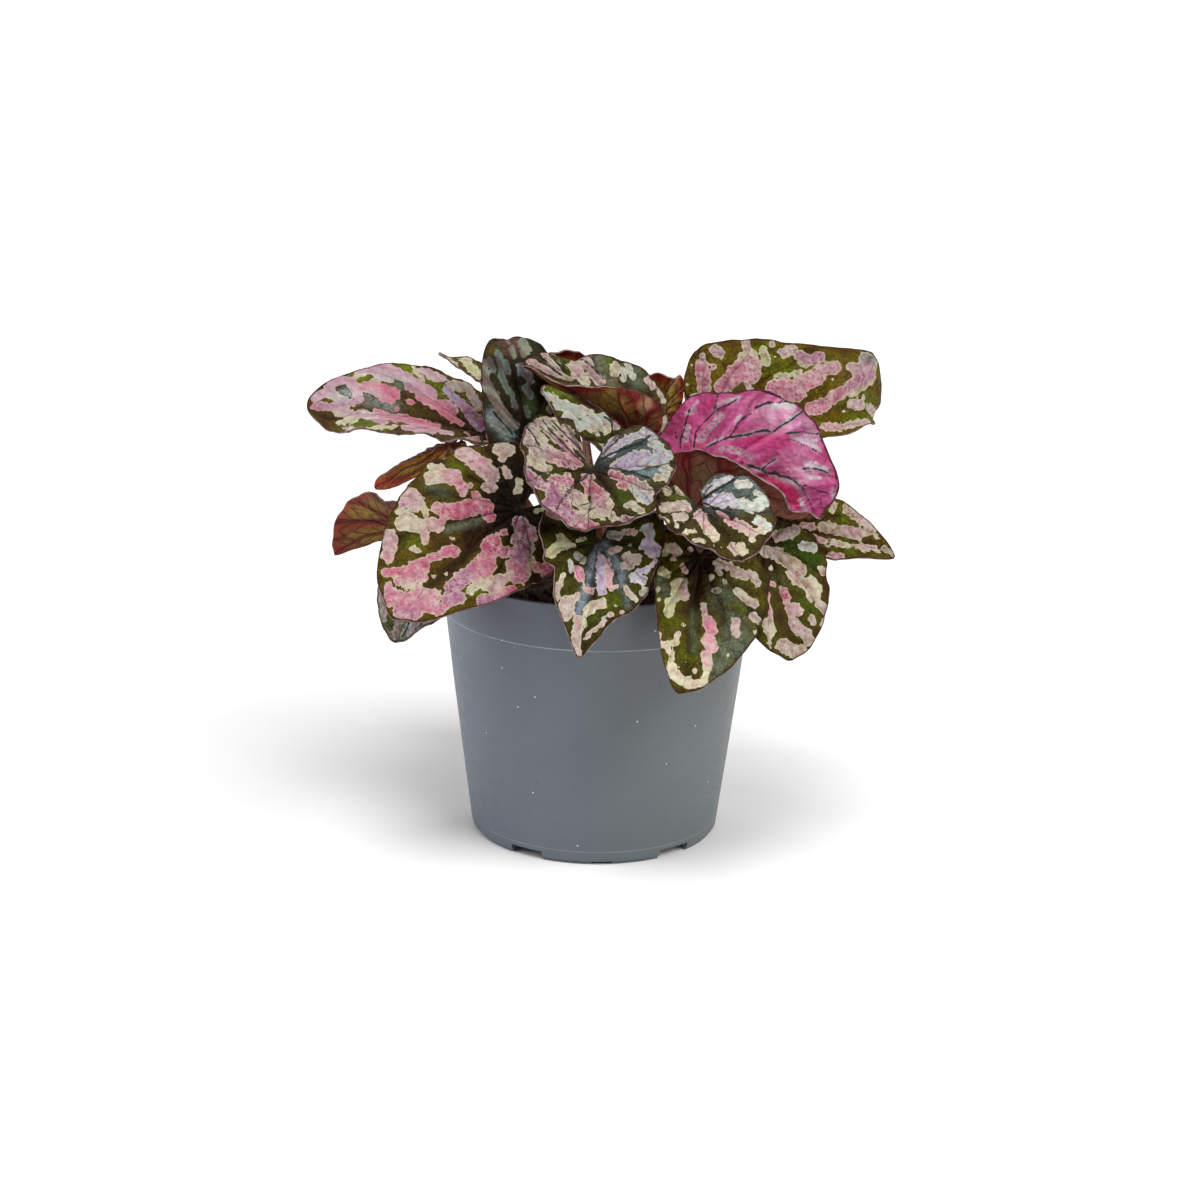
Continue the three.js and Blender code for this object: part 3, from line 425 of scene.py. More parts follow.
    "leaf_magenta": """
    slate 0.44 707,448 720,441 729,438 733,433 738,424 743,419 751,414; slate 0.51 729,438 740,436 748,435
    757,432 766,431; slate 0.62 761,431 769,431; slate 0.46 769,432 774,432 781,426 789,422 797,416 804,411;
    slate 0.44 786,434 794,433 803,432 811,434 818,434; slate 0.39 788,439 796,441 803,445 810,448 818,452
    823,456; slate 0.62 756,408 763,405 769,403; slate 0.46 769,403 780,403 788,402; slate 0.46 694,448
    695,440 696,432 703,424 710,417 714,413; slate 0.44 714,413 721,408 729,405 737,400; slate 0.46 714,412
    716,406 717,400 719,394; slate 0.44 681,448 681,439 684,432 686,424 688,416 690,409; slate 0.39 677,439
    676,432; slate 0.44 740,461 751,467; slate 0.62 748,465 760,469; slate 0.51 760,469 769,473 779,476
    789,478 796,482 803,489 806,496 811,505 814,511; slate 0.62 774,472 779,474; slate 0.44 763,468 770,463
    776,459; slate 0.44 803,485 810,487 819,491 829,494; slate 0.44 804,469 811,468 820,470 829,474; slate
    0.39 836,471 836,482 834,494; slate 0.44 820,499 823,508; slate 0.46 764,392 771,394 781,398 789,397;
    slate 0.37 786,470 792,474; pale 0.9 733,401 739,398; pale 1.4 771,408 784,405 794,408; pale 0.7 762,409
    768,406; pale 0.8 788,420 798,414; pale 0.9 792,437 800,441 808,444; pale 0.9 812,446 820,450; pale 1.3
    806,463 816,465 826,469; pale 0.7 806,440 816,442; pale 0.7 708,446 722,438; pale 0.6 736,421 741,416;
    pale 0.6 694,406 698,402; pale 0.9 833,490 834,497; pale 0.7 808,478 820,478; pale 0.8 800,500 806,510;
    mauve 1.4 686,440 688,428; mauve 1.6 700,440 710,428 722,416; mauve 1.4 722,448 740,452 752,458; mauve
    1.6 806,424 812,430; mauve 1.2 688,414 694,410
    """,
}

# Where the photograph shows a blade's margin, which is drawn there from the even outline: the blade's half,
# and the photograph's pixels.
MARGINS = {
    "leaf_top_right": """
    left 688,358 700,348 715,342 742,340 766,339 785,344 803,351 830,353 858,355 873,358; both 879,370
    878,385 876,398 879,412 877,421; right 862,429 842,433 822,431
    """,
    "leaf_magenta": """
    left 685,400 700,394 720,392 740,393 765,391 785,398 800,403 808,412 818,425 826,442 831,460 838,475;
    both 841,490 836,503; right 826,513 812,518 800,516 788,499 772,483 755,471 740,464 722,456 705,451
    """,
    "leaf_right": """
    left 838,497 850,506 863,518 875,528 884,543 892,550; both 897,556; right 892,558 875,558 860,560 845,564
    832,559
    """,
    "leaf_far_left": """
    right 322,385 335,378 350,373 366,368 380,365 397,364 416,366 435,371 451,376 465,380; both 312,392
    308,402 312,412; left 326,420 331,430 340,435 354,434 377,433 400,433 417,434 435,435
    """,
    "leaf_centre": """
    left 605,442 615,434 628,428 640,427 650,430 660,437 668,445 675,455 677,470 670,480 658,492 657,500
    655,510 645,517; left 630,524 610,527; both 600,528 590,531 580,530; right 572,529 560,522 548,512
    540,503 530,488 525,475 523,460 521,445 522,432 530,422 543,416 556,418
    """,
    "leaf_right_small": """
    left 696,490 705,482 715,478 733,476 745,479 757,486 766,498 772,510 776,522 772,535 765,543 760,553;
    both 752,558 740,562 727,562; right 720,558 708,550 692,543 675,533 663,522 655,508 656,495 662,485
    678,483 688,492
    """,
    "leaf_front": """
    left 645,514 656,511 664,518 664,530 662,545 661,556 655,570 651,582 648,595 640,605 620,617 600,630
    588,640; both 584,650 581,662 573,652; right 565,640 560,625 557,610 553,597 553,582 556,570
    """,
}

# Where a blade's outline is to be moved across the photograph: the reach of the move in pixels, then from
# and to.
NUDGES = {
    "leaf_top_right": """
    26 866,366 880,355; 22 880,392 872,396; 20 880,424 872,419; 20 846,419 842,428
    """,
    "leaf_magenta": """
    30 833,533 822,512; 16 806,505 797,510; 12 696,490 696,500
    """,
    "leaf_top": """
    20 538,376 528,361; 18 547,364 537,351; 12 553,350 551,358; 8 562,353 560,360; 8 574,353 574,360
    """,
    "leaf_front": """
    18 650,534 652,518
    """,
    "leaf_front_right": """
    14 668,546 664,534
    """,
    "leaf_far_left": """
    40 372,372 372,366; 36 415,374 415,366; 14 342,426 342,434; 14 330,420 331,428
    """,
    "leaf_young": """
    10 562,356 549,352; 5 566,350 566,355; 10 578,356 578,353
    """,
}

# Broad soft washes under the patches: a colour, the wash's half width in mm, its strength, and its pixels.
# Most are the leaves' own colour, but the near-black ones, in the hollows by the stalks and where leaves
# overlap, are painted shade, and the pale grey and grey-blue ones are mostly a painted sheen.
WASHES = {
    "leaf_big_left": """
    6c7560 1.5 0.8 448,530 470,524 486,519; 5f6b50 2 0.6 428,486 446,494; 6a7a10 2.4 0.7 410,541 420,544;
    6a7a10 1.8 0.6 452,466 462,470; 6a7a10 2 0.7 472,593 480,590; 5a5010 3 0.6 396,566 420,556; 3a2410 3 0.7
    440,546 470,544 500,520; 3a2410 3 0.6 444,584 452,566; 120b04 8.6 0.98 508,446 514,470 518,490 516,508;
    120b04 4 0.9 490,500 500,492; 180e06 6 0.9 500,520 520,512 534,520; 180e06 5 0.85 500,478 506,496; 2a180a
    3.5 0.8 536,540 540,556 530,580
    """,
    "leaf_far_left": """
    8f9c96 2.4 0.95 342,389 350,395; 7e8079 2.6 0.92 366,398 378,404 396,408; 6f7f6a 2 0.9 394,382 402,390;
    6a7a0e 1.8 0.92 352,379 366,379; 6f7c0e 1.6 0.92 403,368 414,373 424,379; 5d6c10 2.4 0.92 434,384
    440,394; 5f6e0e 1.6 0.9 346,426 366,424 386,430; 40300e 4 0.85 404,395 420,408 436,420; 3c2410 3 0.85
    440,424 460,428 474,430; 33230f 1.6 0.9 322,388 332,387 344,386
    """,
    "leaf_centre": """
    5a6c6c 4 0.9 606,452 625,448 650,452; 76898c 2 0.95 632,472 648,475 662,470; 3a4644 1.2 0.9 600,461
    612,454 626,449 642,443; 3a4644 1.1 0.85 604,468 620,470 636,473; 404f0c 3.6 0.95 622,498 630,506; 46540c
    1.9 0.92 548,472 558,474; 504e0c 1.8 0.85 553,426 558,432; 43301c 3.4 0.85 580,478 590,500; 3a2818 2.6
    0.85 604,520 640,516; 847c34 1.6 0.9 588,463; 46540c 1.5 0.9 596,505 602,520
    """,
    "leaf_right_small": """
    6c7c78 7 0.95 706,492 722,486 745,482 760,490; 5a5f5c 2 0.9 716,510 735,513; 3f3a14 3 0.7 710,545 730,536
    722,528; 5f6410 2 0.8 672,498 690,496; 2a1f0c 2.4 0.7 694,506 700,506
    """,
    "leaf_front": """
    8a909c 1.9 0.92 597,550 592,566 588,580; 8a98a6 2 0.92 586,588 582,600 578,612; 7f8c94 2 0.9 604,543
    612,557 620,570 622,585; 6f7d70 1.6 0.7 622,590 628,606; 525c0c 2.4 0.9 606,600 616,598 612,608; 4a540e
    1.8 0.8 588,622 596,618; 525c0c 1.6 0.8 566,582 563,588; 3c4a0e 2.4 0.8 588,545 594,540; 2a1c08 3 0.85
    600,530 604,536; 1f1608 2.4 0.8 620,541 630,542
    """,
    "leaf_front_right": """
    6a745e 5 0.85 724,600 732,614 740,645; 6a745e 4 0.85 728,645 716,668; 5e6648 1.6 0.85 694,612 694,650;
    6d775c 2.4 0.8 660,580 664,592; 5c620a 2.6 0.9 664,620 672,622; 5c620a 2 0.9 680,650 690,660; 565c0a 2
    0.9 672,562 676,570; 545a0a 2 0.85 730,606 742,610; 1c1206 5 0.92 694,545 700,556 706,562; 2b1c0a 3 0.8
    700,585 694,596 690,604; 3b2e0c 2 0.7 720,606 722,620
    """,
    "leaf_low_right": """
    304c0c 3.2 0.92 790,546 800,552 814,560; 44540c 2.6 0.9 802,598 812,606 804,602; 4a2a0e 2.4 0.85 824,582
    829,600 826,632; 4a3810 3 0.8 776,600 782,612 780,628; 50502c 3.4 0.7 768,574 784,582; 3a2410 2.4 0.8
    810,645 818,636; 1f1608 3 0.8 770,560 764,575
    """,
    "leaf_right": """
    5b3c1a 2 0.7 820,532 850,536; 5f6f12 2 0.8 842,512 850,550
    """,
    "leaf_top_right": """
    626c06 3.4 0.85 762,352 772,366 790,372; 626c06 2.4 0.85 806,366 812,362 826,362; 5c660a 2.6 0.85 840,400
    856,392 868,398; 5c660a 2.6 0.8 850,418 870,416; 56400e 3 0.8 690,370 696,350; 5a4010 2.4 0.8 720,396
    740,396 762,392; 54380f 2.2 0.8 800,378 816,374; 6a4a3a 2.4 0.5 846,374 856,380
    """,
    "leaf_upright": """
    8fa0a0 2.6 0.9 492,416 500,426 508,436; 5f4638 3 0.85 504,346 512,352 516,342; 5a4a14 1.6 0.8 490,352
    496,348; 141006 3.4 0.95 516,374 516,386 520,394; 33431f 2.4 0.9 528,402 532,410; 1a1608 3 0.85 506,404
    518,416; 2c2a14 2 0.8 496,382 500,394
    """,
    "leaf_top": """
    77735f 4 0.9 598,358 602,368 608,380; 5c6a26 2.4 0.85 609,358 610,368; 5f6c54 3 0.85 634,372 638,382;
    4b5a14 2.4 0.85 566,362 568,372; 4a2c14 1.6 0.8 534,364 546,372 560,379
    """,
    "leaf_top_lower": """
    5c6c10 3 0.92 549,388 556,394; 7d8c3c 1.6 0.85 556,386 566,394; 6f8f80 1.6 0.9 581,419 590,416; 93a6ac 2
    0.8 540,405 546,412; 3f4a10 1.6 0.8 600,434 606,437
    """,
    "leaf_low_left": """
    8b9188 9 0.6 385,600 400,630 430,620; 48500c 2.4 0.97 388,617 390,626; 5c6048 1.6 0.8 383,602 384,605
    """,
    "leaf_magenta": """
    b2386f 3.6 0.9 735,446 752,441 772,441 788,440; ae2c58 2.2 0.95 768,476 778,485 790,494 798,503; b8527f 4
    0.7 806,452 820,462; c68ca9 5 0.75 764,414 780,416 796,424; c084a2 4 0.7 800,456 790,462 806,474; b8669a
    4 0.7 800,430 812,440; a83c70 3 0.7 704,410 712,402; 9c2a60 2.4 0.7 696,424 700,430; 9c2a60 2 0.7 686,430
    688,420; b25684 4 0.6 716,436 730,420; 9c4672 3 0.6 812,490 824,500; 8d8088 1 0.75 729,438 740,436
    757,432 774,432; 8d8088 1 0.7 781,426 797,416 806,410; 8d8088 1.2 0.8 748,466 760,470 779,477 796,483
    806,496; 9a8890 0.9 0.7 763,468 776,459; 8d8088 0.9 0.7 804,470 820,471 829,475; 8d8088 0.9 0.7 792,434
    811,435 820,436; 988a94 0.8 0.7 714,412 720,404 732,400; 98304e 1.6 0.8 700,446 708,430
    """,
    # The young leaf's two bright spots, here and among its glows, are painted highlights on its two humps.
    "leaf_young": """
    b8622e 1.5 0.85 553,354; d06a66 1.0 0.85 573,353; 7a0f0c 0.8 0.9 546,351 553,349 561,353; 7a0f0c 0.9 0.9
    564,357 572,357
    """,
}

# The same on the undersides that the photograph shows: painted glow, the light shining through the leaf
# painted into its colour.
GLOWS = {
    "leaf_top": """
    8a7434 3 0.9 604,396 612,392 620,400 612,406; 8b6a4e 2.6 0.9 645,398 647,406 643,413; 84603c 2 0.8
    592,393 598,394; 6e4a2c 2.6 0.8 652,420 660,424; 8a6450 1.6 0.7 664,418; 78221e 1.4 0.85 582,388 596,390
    606,387; 7c2426 2.2 0.95 632,391 636,397; 3a120c 2.2 0.85 616,416 628,422 640,424; 34100c 1.8 0.9 572,392
    586,402 600,412 612,420; 5e0e0e 0.9 0.95 627,390 634,404 638,416; 5e0e0e 0.8 0.95 656,398 652,410
    643,420; 641414 0.6 0.9 640,393 635,402; 2c0a08 1.3 0.9 640,388 652,393 662,405 670,419
    """,
    "leaf_magenta": """
    9a3038 2.3 0.9 683,458 688,466; 746040 3.2 0.9 697,470 704,477 714,470; 94705a 1.8 0.8 700,456; 94524a 2
    0.8 715,468; 7c2c2a 2.2 0.9 724,459 732,464; 685030 2.4 0.85 738,468 745,471; 6a2a1e 2.4 0.85 752,475
    760,482; 74443a 3.2 0.85 766,486 774,492; 785644 2.4 0.85 782,500 785,507; 948076 1 0.7 783,511; 3e0e0c
    0.8 0.9 689,452 690,480; 3e0e0c 0.8 0.9 719,456 720,474; 4a1410 1.2 0.85 700,451 726,456 750,468; 4a1c18
    2.2 0.85 796,496 797,508
    """,
    "leaf_left_under": """
    92702c 3.6 0.95 350,508 362,513; 8c7c26 1.8 0.8 368,506 376,513; 84722c 3.6 0.95 364,535 378,531; 8c5e3c
    2.6 0.8 346,541 354,547; 9a3628 3 0.9 338,512 346,501 362,492; 983c2e 2.6 0.9 332,530 334,524; 903a2c 2.6
    0.9 329,542 337,552; 8c2c22 1.5 0.9 340,526 360,526 380,523; 4a0c08 0.9 0.97 334,522 360,521 392,520;
    4a100a 0.6 0.95 350,502 366,503 374,510 382,518; 561a10 0.5 0.9 331,538 344,539 356,541 366,546; 561a10
    0.5 0.85 342,537 352,529; 2c0c08 1.1 0.9 372,492 378,498 386,503; 684418 2.6 0.85 387,508 393,512
    """,
    "leaf_left_high": """
    d0ac18 2.4 0.95 398,472 406,468 414,466; c46c1c 2.2 0.9 388,474 396,467 410,460; c03418 2 0.95 380,483
    386,481 398,482 408,478; bc801e 2.4 0.9 420,462 432,457; 7a1610 0.8 0.9 396,478 410,474 420,468 430,462;
    a86a5c 0.9 0.9 398,484 412,481; d88c28 2.2 0.95 439,449 447,444
    """,
    "leaf_back_red": """
    c02c26 2.4 0.95 656,379 664,381; 780f10 0.9 0.95 654,375 668,374 680,372; f4c65a 2.8 0.95 672,388
    676,384; e0c056 2.8 0.95 668,394; fce07c 1.6 0.95 670,404 674,400; dc3424 1.5 0.97 682,375 683,386
    681,394; 780f0e 0.6 0.97 672,376 668,382 662,391
    """,
    # The young leaf's two bright spots are painted highlights on its humps.
    "leaf_young": """
    c8703c 1.8 0.9 553,353; d86a66 1.2 0.9 574,352; 861210 1.4 0.9 562,355; 861210 0.8 0.9 546,350 553,348
    560,352
    """,
}

# Each leaf's ground: the green between its veins, the dark along them and by the stalk, which by the stalk is
# partly painted shade, how strongly its veins are drawn, and the underside's colours between its veins and
# along them. Then how light its patches are, how much is left to chance, how strong their rims are, and
# whether the whole blade is one patch.
SKIN_DEFAULTS = dict(
    green="5a4a0a", dark="241204", veins=0.3, tone=0.92, under="7d5f2c", under_vein="70241a", cover=0.55,
    rim=1.0, flushed=False,
)
SKINS = {
    "leaf_big_left": dict(veins=0.2),
    "leaf_centre": dict(green="4a3e12", dark="2c1c0c", veins=0.75, tone=0.79),
    "leaf_right_small": dict(green="4c4114", dark="30200c", veins=0.6, tone=1.07),
    "leaf_front": dict(green="42400c", dark="20180a", veins=0.35, tone=1.0),
    "leaf_front_right": dict(green="57500c", dark="2c1e08", tone=1.07),
    "leaf_low_right": dict(green="4c4808", dark="301c06", tone=0.93),
    "leaf_right": dict(green="5a4c0c", dark="3c220a", tone=0.92),
    "leaf_far_left": dict(green="5e4e18", dark="422c18", tone=0.9, rim=0.4),
    "leaf_upright": dict(green="2a260e", dark="110d05", veins=0.3, tone=0.6, rim=0),
    "leaf_top": dict(tone=0.88, green="504624", dark="2c1a0c", under="836a30", under_vein="701a14"),
    "leaf_top_lower": dict(green="444210", dark="1c1206", tone=0.85),
    "leaf_top_right": dict(green="665608", dark="4a2c0c", tone=0.86),
    "leaf_low_left": dict(green="6d7050", dark="48523c", veins=0.6, tone=0.81),
    "leaf_magenta": dict(green="aa4a78", dark="983862", veins=0.25, under="8c5c46", under_vein="6a2024",
                         cover=0, flushed=True),
    "leaf_left_under": dict(under="86621e", under_vein="6c1a12"),
    # The undersides of these two are painted bright: the glow of light shining through them.
    "leaf_left_high": dict(under="e0b038", under_vein="c04420"),
    "leaf_back_red": dict(under="e6b844", under_vein="c02c1c"),
    "leaf_young": dict(green="9a2f26", dark="701a14", veins=0.3, under="9a3e26", under_vein="801815",
                       cover=0),
}

# --------------------------------------------------------------------------------------------------------
# Small helpers
# --------------------------------------------------------------------------------------------------------
def linear(hex_color):
    """The linear light of an sRGB hex colour."""
    parts = [int(hex_color[i : i + 2], 16) / 255 for i in (0, 2, 4)]
    return [c / 12.92 if c <= 0.04045 else ((c + 0.055) / 1.055) ** 2.4 for c in parts]


def rgba(hex_color):
    return [*linear(hex_color), 1]


def smoothstep(x):
    x = np.clip(x, 0, 1)
    return x * x * (3 - 2 * x)


def ripple(s, t, size, rng, waves=7):
    """Smooth random hills over the plane, about size mm across, between -1 and 1."""
    total = np.zeros_like(s)
    for _ in range(waves):
        turn, phase, stretch = rng.uniform(0, 2 * np.pi, 2).tolist() + [rng.uniform(0.7, 1.4)]
        total += np.sin((s * np.cos(turn) + t * np.sin(turn)) * np.pi / size * stretch + phase)
    return total / waves ** 0.5 / 1.6


def camera_axes():
    """The photograph's camera: where it is, and its right, up and forward directions, in mm."""
    tilt, roll = math.radians(CAMERA_ELEVATION), math.radians(CAMERA_ROLL)
    forward = np.array([0, math.cos(tilt), -math.sin(tilt)])
    right, up = np.array([1.0, 0, 0]), np.array([0, math.sin(tilt), math.cos(tilt)])
    turned_right = right * math.cos(roll) - up * math.sin(roll)
    turned_up = right * math.sin(roll) + up * math.cos(roll)
    return np.array(CAMERA_TARGET) - forward * CAMERA_DISTANCE, turned_right, turned_up, forward


def photo_pixels(points):
    """Where points in mm fall in the photograph."""
    eye, right, up, forward = camera_axes()
    seen = points - eye
    depth = seen @ forward
    u = PHOTO_SIDE / 2 + FOCAL_PIXELS * (seen @ right) / depth
    v = PHOTO_SIDE / 2 - FOCAL_PIXELS * (seen @ up) / depth
    return np.stack([u, v], axis=1)


def read_strokes(table, leaf, numbers):
    """A leaf's strokes in a table: each a word, some numbers, and x,y points."""
    strokes = []
    for stroke in table.get(leaf["name"], "").split(";"):
        words = stroke.split()
        if words:
            points = np.array([[float(c) for c in word.split(",")] for word in words[1 + numbers :]])
            strokes.append((words[0], [float(w) for w in words[1 : 1 + numbers]], points))
    return strokes


# --------------------------------------------------------------------------------------------------------
# The form of a blade
# --------------------------------------------------------------------------------------------------------
def blade_directions(leaf):
    """Along the midrib, to its left, and out of the face, where the stalk meets the blade."""
    heading, pitch, roll = (math.radians(leaf[k]) for k in ("heading", "pitch", "roll"))
    level = np.array([math.cos(heading), math.sin(heading), 0])
    along = level * math.cos(pitch) + [0, 0, math.sin(pitch)]
    up = -level * math.sin(pitch) + [0, 0, math.cos(pitch)]
    left = np.cross(up, along)
    normal = up * math.cos(roll) + left * math.sin(roll)
    return along, left * math.cos(roll) - up * math.sin(roll), normal


def blade_points(leaf, s, t):
    """The blade's middle surface in mm, for s along the midrib and t to its left when flat."""
    along, left, normal = blade_directions(leaf)
    side = (t < 0).astype(int)
    width, lift, cup, curl, lobe = (
        np.array(leaf[key], float)[side] for key in ("wide", "lift", "cup", "curl", "lobe")
    )
    u = s / leaf["length"]

    def turn_at(share):
        return np.radians(leaf["bend"] * share + leaf["droop"] * np.maximum(0, 2 * share - 1) ** 2)

    forward, fall = np.zeros_like(s), np.zeros_like(s)
    for i in range(BEND_STEPS):
        turn = turn_at(u * (i + 0.5) / BEND_STEPS)
        forward += np.cos(turn) * s / BEND_STEPS
        fall -= np.sin(turn) * s / BEND_STEPS
    across, rise = np.zeros_like(s), np.zeros_like(s)
    curl_here = curl * (1 - smoothstep((u - CURL_FADE) / (1 - CURL_FADE)))
    for i in range(BEND_STEPS):
        v = np.abs(t) / width * (i + 0.5) / BEND_STEPS
        fold = lift * smoothstep(v / CREASE_WIDTH)
        roll_in = curl_here * smoothstep((v - CURL_START) / (1 - CURL_START))
        slope = np.radians(fold - cup * v + roll_in)
        across += np.cos(slope) * t / BEND_STEPS
        rise += np.sin(slope) * np.abs(t) / BEND_STEPS
    across += leaf["sweep"] * leaf["length"] * np.maximum(0, u) ** 2
    reach = np.hypot(s / np.where(s > 0, leaf["length"], lobe * LOBE_REACH), t / width)
    rise += WAVE_HEIGHT * reach ** 2 * np.sin(WAVES * np.arctan2(t / width, u))
    turn = turn_at(u)
    cos, sin = np.cos(turn)[:, None], np.sin(turn)[:, None]
    tip = along * cos - normal * sin
    face = normal * cos + along * sin
    twist = np.radians(leaf["twist"] * np.maximum(0, u))[:, None]
    left_here = left * np.cos(twist) + np.cross(tip, left) * np.sin(twist)
    left_here += tip * (tip @ left)[:, None] * (1 - np.cos(twist))
    face_here = face * np.cos(twist) + np.cross(tip, face) * np.sin(twist)
    place = np.array(leaf["at"], float) + along * forward[:, None] + normal * fall[:, None]
    return place + left_here * across[:, None] + face_here * rise[:, None]


def placed(leaf, s, t):
    """The blade's middle surface after its small moves across the camera's view."""
    points = blade_points(leaf, s, t)
    eye, right, up, forward = camera_axes()
    depth = (points - eye) @ forward
    pixels = photo_pixels(points)
    total, shift = np.full(len(points), 1e-9), np.zeros((len(points), 2))
    for reach, _, (start, end) in read_strokes(NUDGES, leaf, 0):
        weight = np.exp(-((pixels - start) ** 2).sum(1) / float(reach) ** 2)
        total += weight
        shift += weight[:, None] * (end - start)
    shift *= (depth / FOCAL_PIXELS / np.maximum(1, total))[:, None]
    return points + shift[:, :1] * right - shift[:, 1:] * up


def blade_normals(leaf, s, t, step=0.4):
    """The unit normals of the upper face."""
    ds = placed(leaf, s + step, t) - placed(leaf, s - step, t)
    dt = placed(leaf, s, t + step) - placed(leaf, s, t - step)
    normal = np.cross(ds, dt)
    return normal / np.linalg.norm(normal, axis=1, keepdims=True)


def blade_outline(leaf, around):
    """The flat outline for a share of the way round, from -1 right of the notch through the tip to 1."""
    side = (around < 0).astype(int)
    angle = np.radians(LOBE_END * np.abs(around))
    centre = WIDEST_AT * leaf["length"]
    c, s = np.cos(angle), np.maximum(np.sin(angle), 1e-9)
    ahead = c > 0
    power = np.where(ahead, leaf["full"], LOBE_FULLNESS)
    long = np.where(ahead, leaf["length"] - centre, np.array(leaf["lobe"], float)[side] + centre)
    wide = np.array(leaf["wide"], float)[side]
    radius = ((np.abs(c) / long) ** power + (s / wide) ** power) ** (-1 / power)
    drawn_out = leaf["point"] * np.exp(-((angle / POINT_ANGLE) ** 2))
    return centre + radius * c + drawn_out, radius * s * np.sign(around)


def margin_pulls(leaf):
    """How far beyond the even outline the margin lies: shares of the way round, and of its reach."""
    around = np.linspace(-1, 1, 721)
    edge = blade_outline(leaf, around)
    seen = photo_pixels(placed(leaf, *edge))
    outward = (photo_pixels(placed(leaf, 1.02 * edge[0], 1.02 * edge[1])) - seen) / 0.02
    found = []
    for side, _, pixels in read_strokes(MARGINS, leaf, 0):
        allowed = {"left": around > 0, "right": around < 0, "both": np.abs(around) < 0.2}[side]
        for pixel in pixels:
            i = np.argmin(((seen - pixel) ** 2).sum(1) + np.where(allowed, 0, 1e9))
            pull = ((pixel - seen[i]) @ outward[i]) / (outward[i] @ outward[i])
            found.append((around[i], float(np.clip(pull, -MOST_PULL, MOST_PULL))))
    if not found:
        return [0.0], [0.0]
    found.sort()
    found = [(found[0][0] - PULL_FADE, 0.0), *found, (found[-1][0] + PULL_FADE, 0.0)]
    return [place for place, _ in found], [pull for _, pull in found]


class Blade:
    """A leaf's flat coordinates and all that its painting and relief need to know at each vertex."""

    def __init__(self, leaf, rho, around, rng):
        """At shares rho of the way out to the margin and around from the tip to the notch."""
        self.leaf, self.rho, self.around = leaf, rho, around
        edge_s, edge_t = blade_outline(leaf, around)
        teeth = 0.5 + 0.5 * np.sin(around * TOOTH_RATE + 2 * np.sin(around * 17))
        cleft = smoothstep((np.abs(around) - CLEFT_START) / CLEFT_FADE)
        shrink = 1 - TOOTH_DEPTH * teeth - CLEFT_DEPTH * cleft ** 2
        places, pulls = margin_pulls(leaf)
        pull = sum(np.interp(around + d, places, pulls) for d in (-PULL_BLUR, 0, PULL_BLUR)) / 3
        edge_s, edge_t = edge_s * (1 + pull), edge_t * (1 + pull)
        outward = np.hypot(edge_s, edge_t)
        self.s, self.t = rho * edge_s * shrink, rho * edge_t * shrink
        self.reach = rho * outward
        self.margin = (1 - rho) * outward * MARGIN_SLANT
        # The sector between two main veins, counted round the blade, with the veins a little crooked.
        wander = 0.012 * np.sin(7 * rho + 40 * around) + 0.01 * np.sin(15 * rho + 3)
        bent = np.clip(around + wander * rho, -1, 1)
        padded = np.array([-BEYOND_RIBS, *RIBS, BEYOND_RIBS])
        self.sector = np.interp(bent, padded, np.arange(len(padded)))
        low = np.clip(np.floor(self.sector).astype(int), 0, len(padded) - 2)
        first = np.stack(blade_outline(leaf, np.clip(padded[low], -1, 1)), axis=1)
        second = np.stack(blade_outline(leaf, np.clip(padded[low + 1], -1, 1)), axis=1)
        self.span = rho * np.linalg.norm(first - second, axis=1) + 0.2
        self.rib = np.abs(self.sector - np.round(self.sector)) * self.span
        # The side veins, which leave the main ones at a slant, a gap apart.
        self.gap = SIDE_VEIN_GAP_GROWTH * leaf["length"] + SIDE_VEIN_GAP
        sway = VEIN_SWAY * ripple(self.s, self.t, 9, rng)
        self.branch = (self.reach - SIDE_VEIN_SLANT * self.rib) / self.gap + sway + 0.5 * (low % 2)
        self.side_vein = np.abs(self.branch - np.round(self.branch)) * self.gap

    def relief(self, rng):
        """How far each vertex stands out of the smooth form, in mm: sunk veins, puffed skin, wavy margin."""
        shallow = 1 - 0.6 * self.rho
        groove = -VEIN_DEPTH * shallow * np.exp(-((self.rib / VEIN_WIDTH) ** 2)) * smoothstep(self.reach / 4)
        side_groove = SIDE_VEIN_DEPTH * np.exp(-((self.side_vein / SIDE_VEIN_WIDTH) ** 2))
        groove -= side_groove * smoothstep((self.rib - 0.3) / 1.5)
        off_rib = np.abs(self.sector - np.round(self.sector))
        swell = np.minimum(SWELL_HEIGHT, 0.05 * self.span) * np.sin(np.pi * off_rib)
        hills = HILL_HEIGHT * ripple(self.s, self.t, HILL_SIZE, rng)
        hills += DIMPLE_HEIGHT * ripple(self.s, self.t, DIMPLE_SIZE, rng)
        phase = rng.uniform(0, 6)
        wave = MARGIN_WAVE * self.rho ** 6 * np.sin(self.around * MARGIN_WAVE_RATE + phase)
        knob = KNOB_HEIGHT * np.exp(-((self.reach / KNOB_SIZE) ** 2))
        return groove + swell + (hills + wave) * smoothstep(self.reach / 6) + knob


# --------------------------------------------------------------------------------------------------------
# Painting
# --------------------------------------------------------------------------------------------------------
def stroke_stations(points, spacing):
    """Points along a broken line, about spacing apart, and the line's direction at each."""
    if len(points) == 1:
        return points, np.array([[1.0, 0.0]])
    steps = np.linalg.norm(np.diff(points, axis=0), axis=1) + 1e-6
    ends = np.concatenate([[0], np.cumsum(steps)])
    at = np.linspace(0, ends[-1], max(2, int(round(ends[-1] / spacing)) + 1))
    stations = np.stack([np.interp(at, ends, points[:, i]) for i in (0, 1)], axis=1)
    heading = np.diff(points, axis=0) / steps[:, None]
    piece = np.clip(np.searchsorted(ends, at, side="right") - 1, 0, len(heading) - 1)
    return stations, heading[piece]


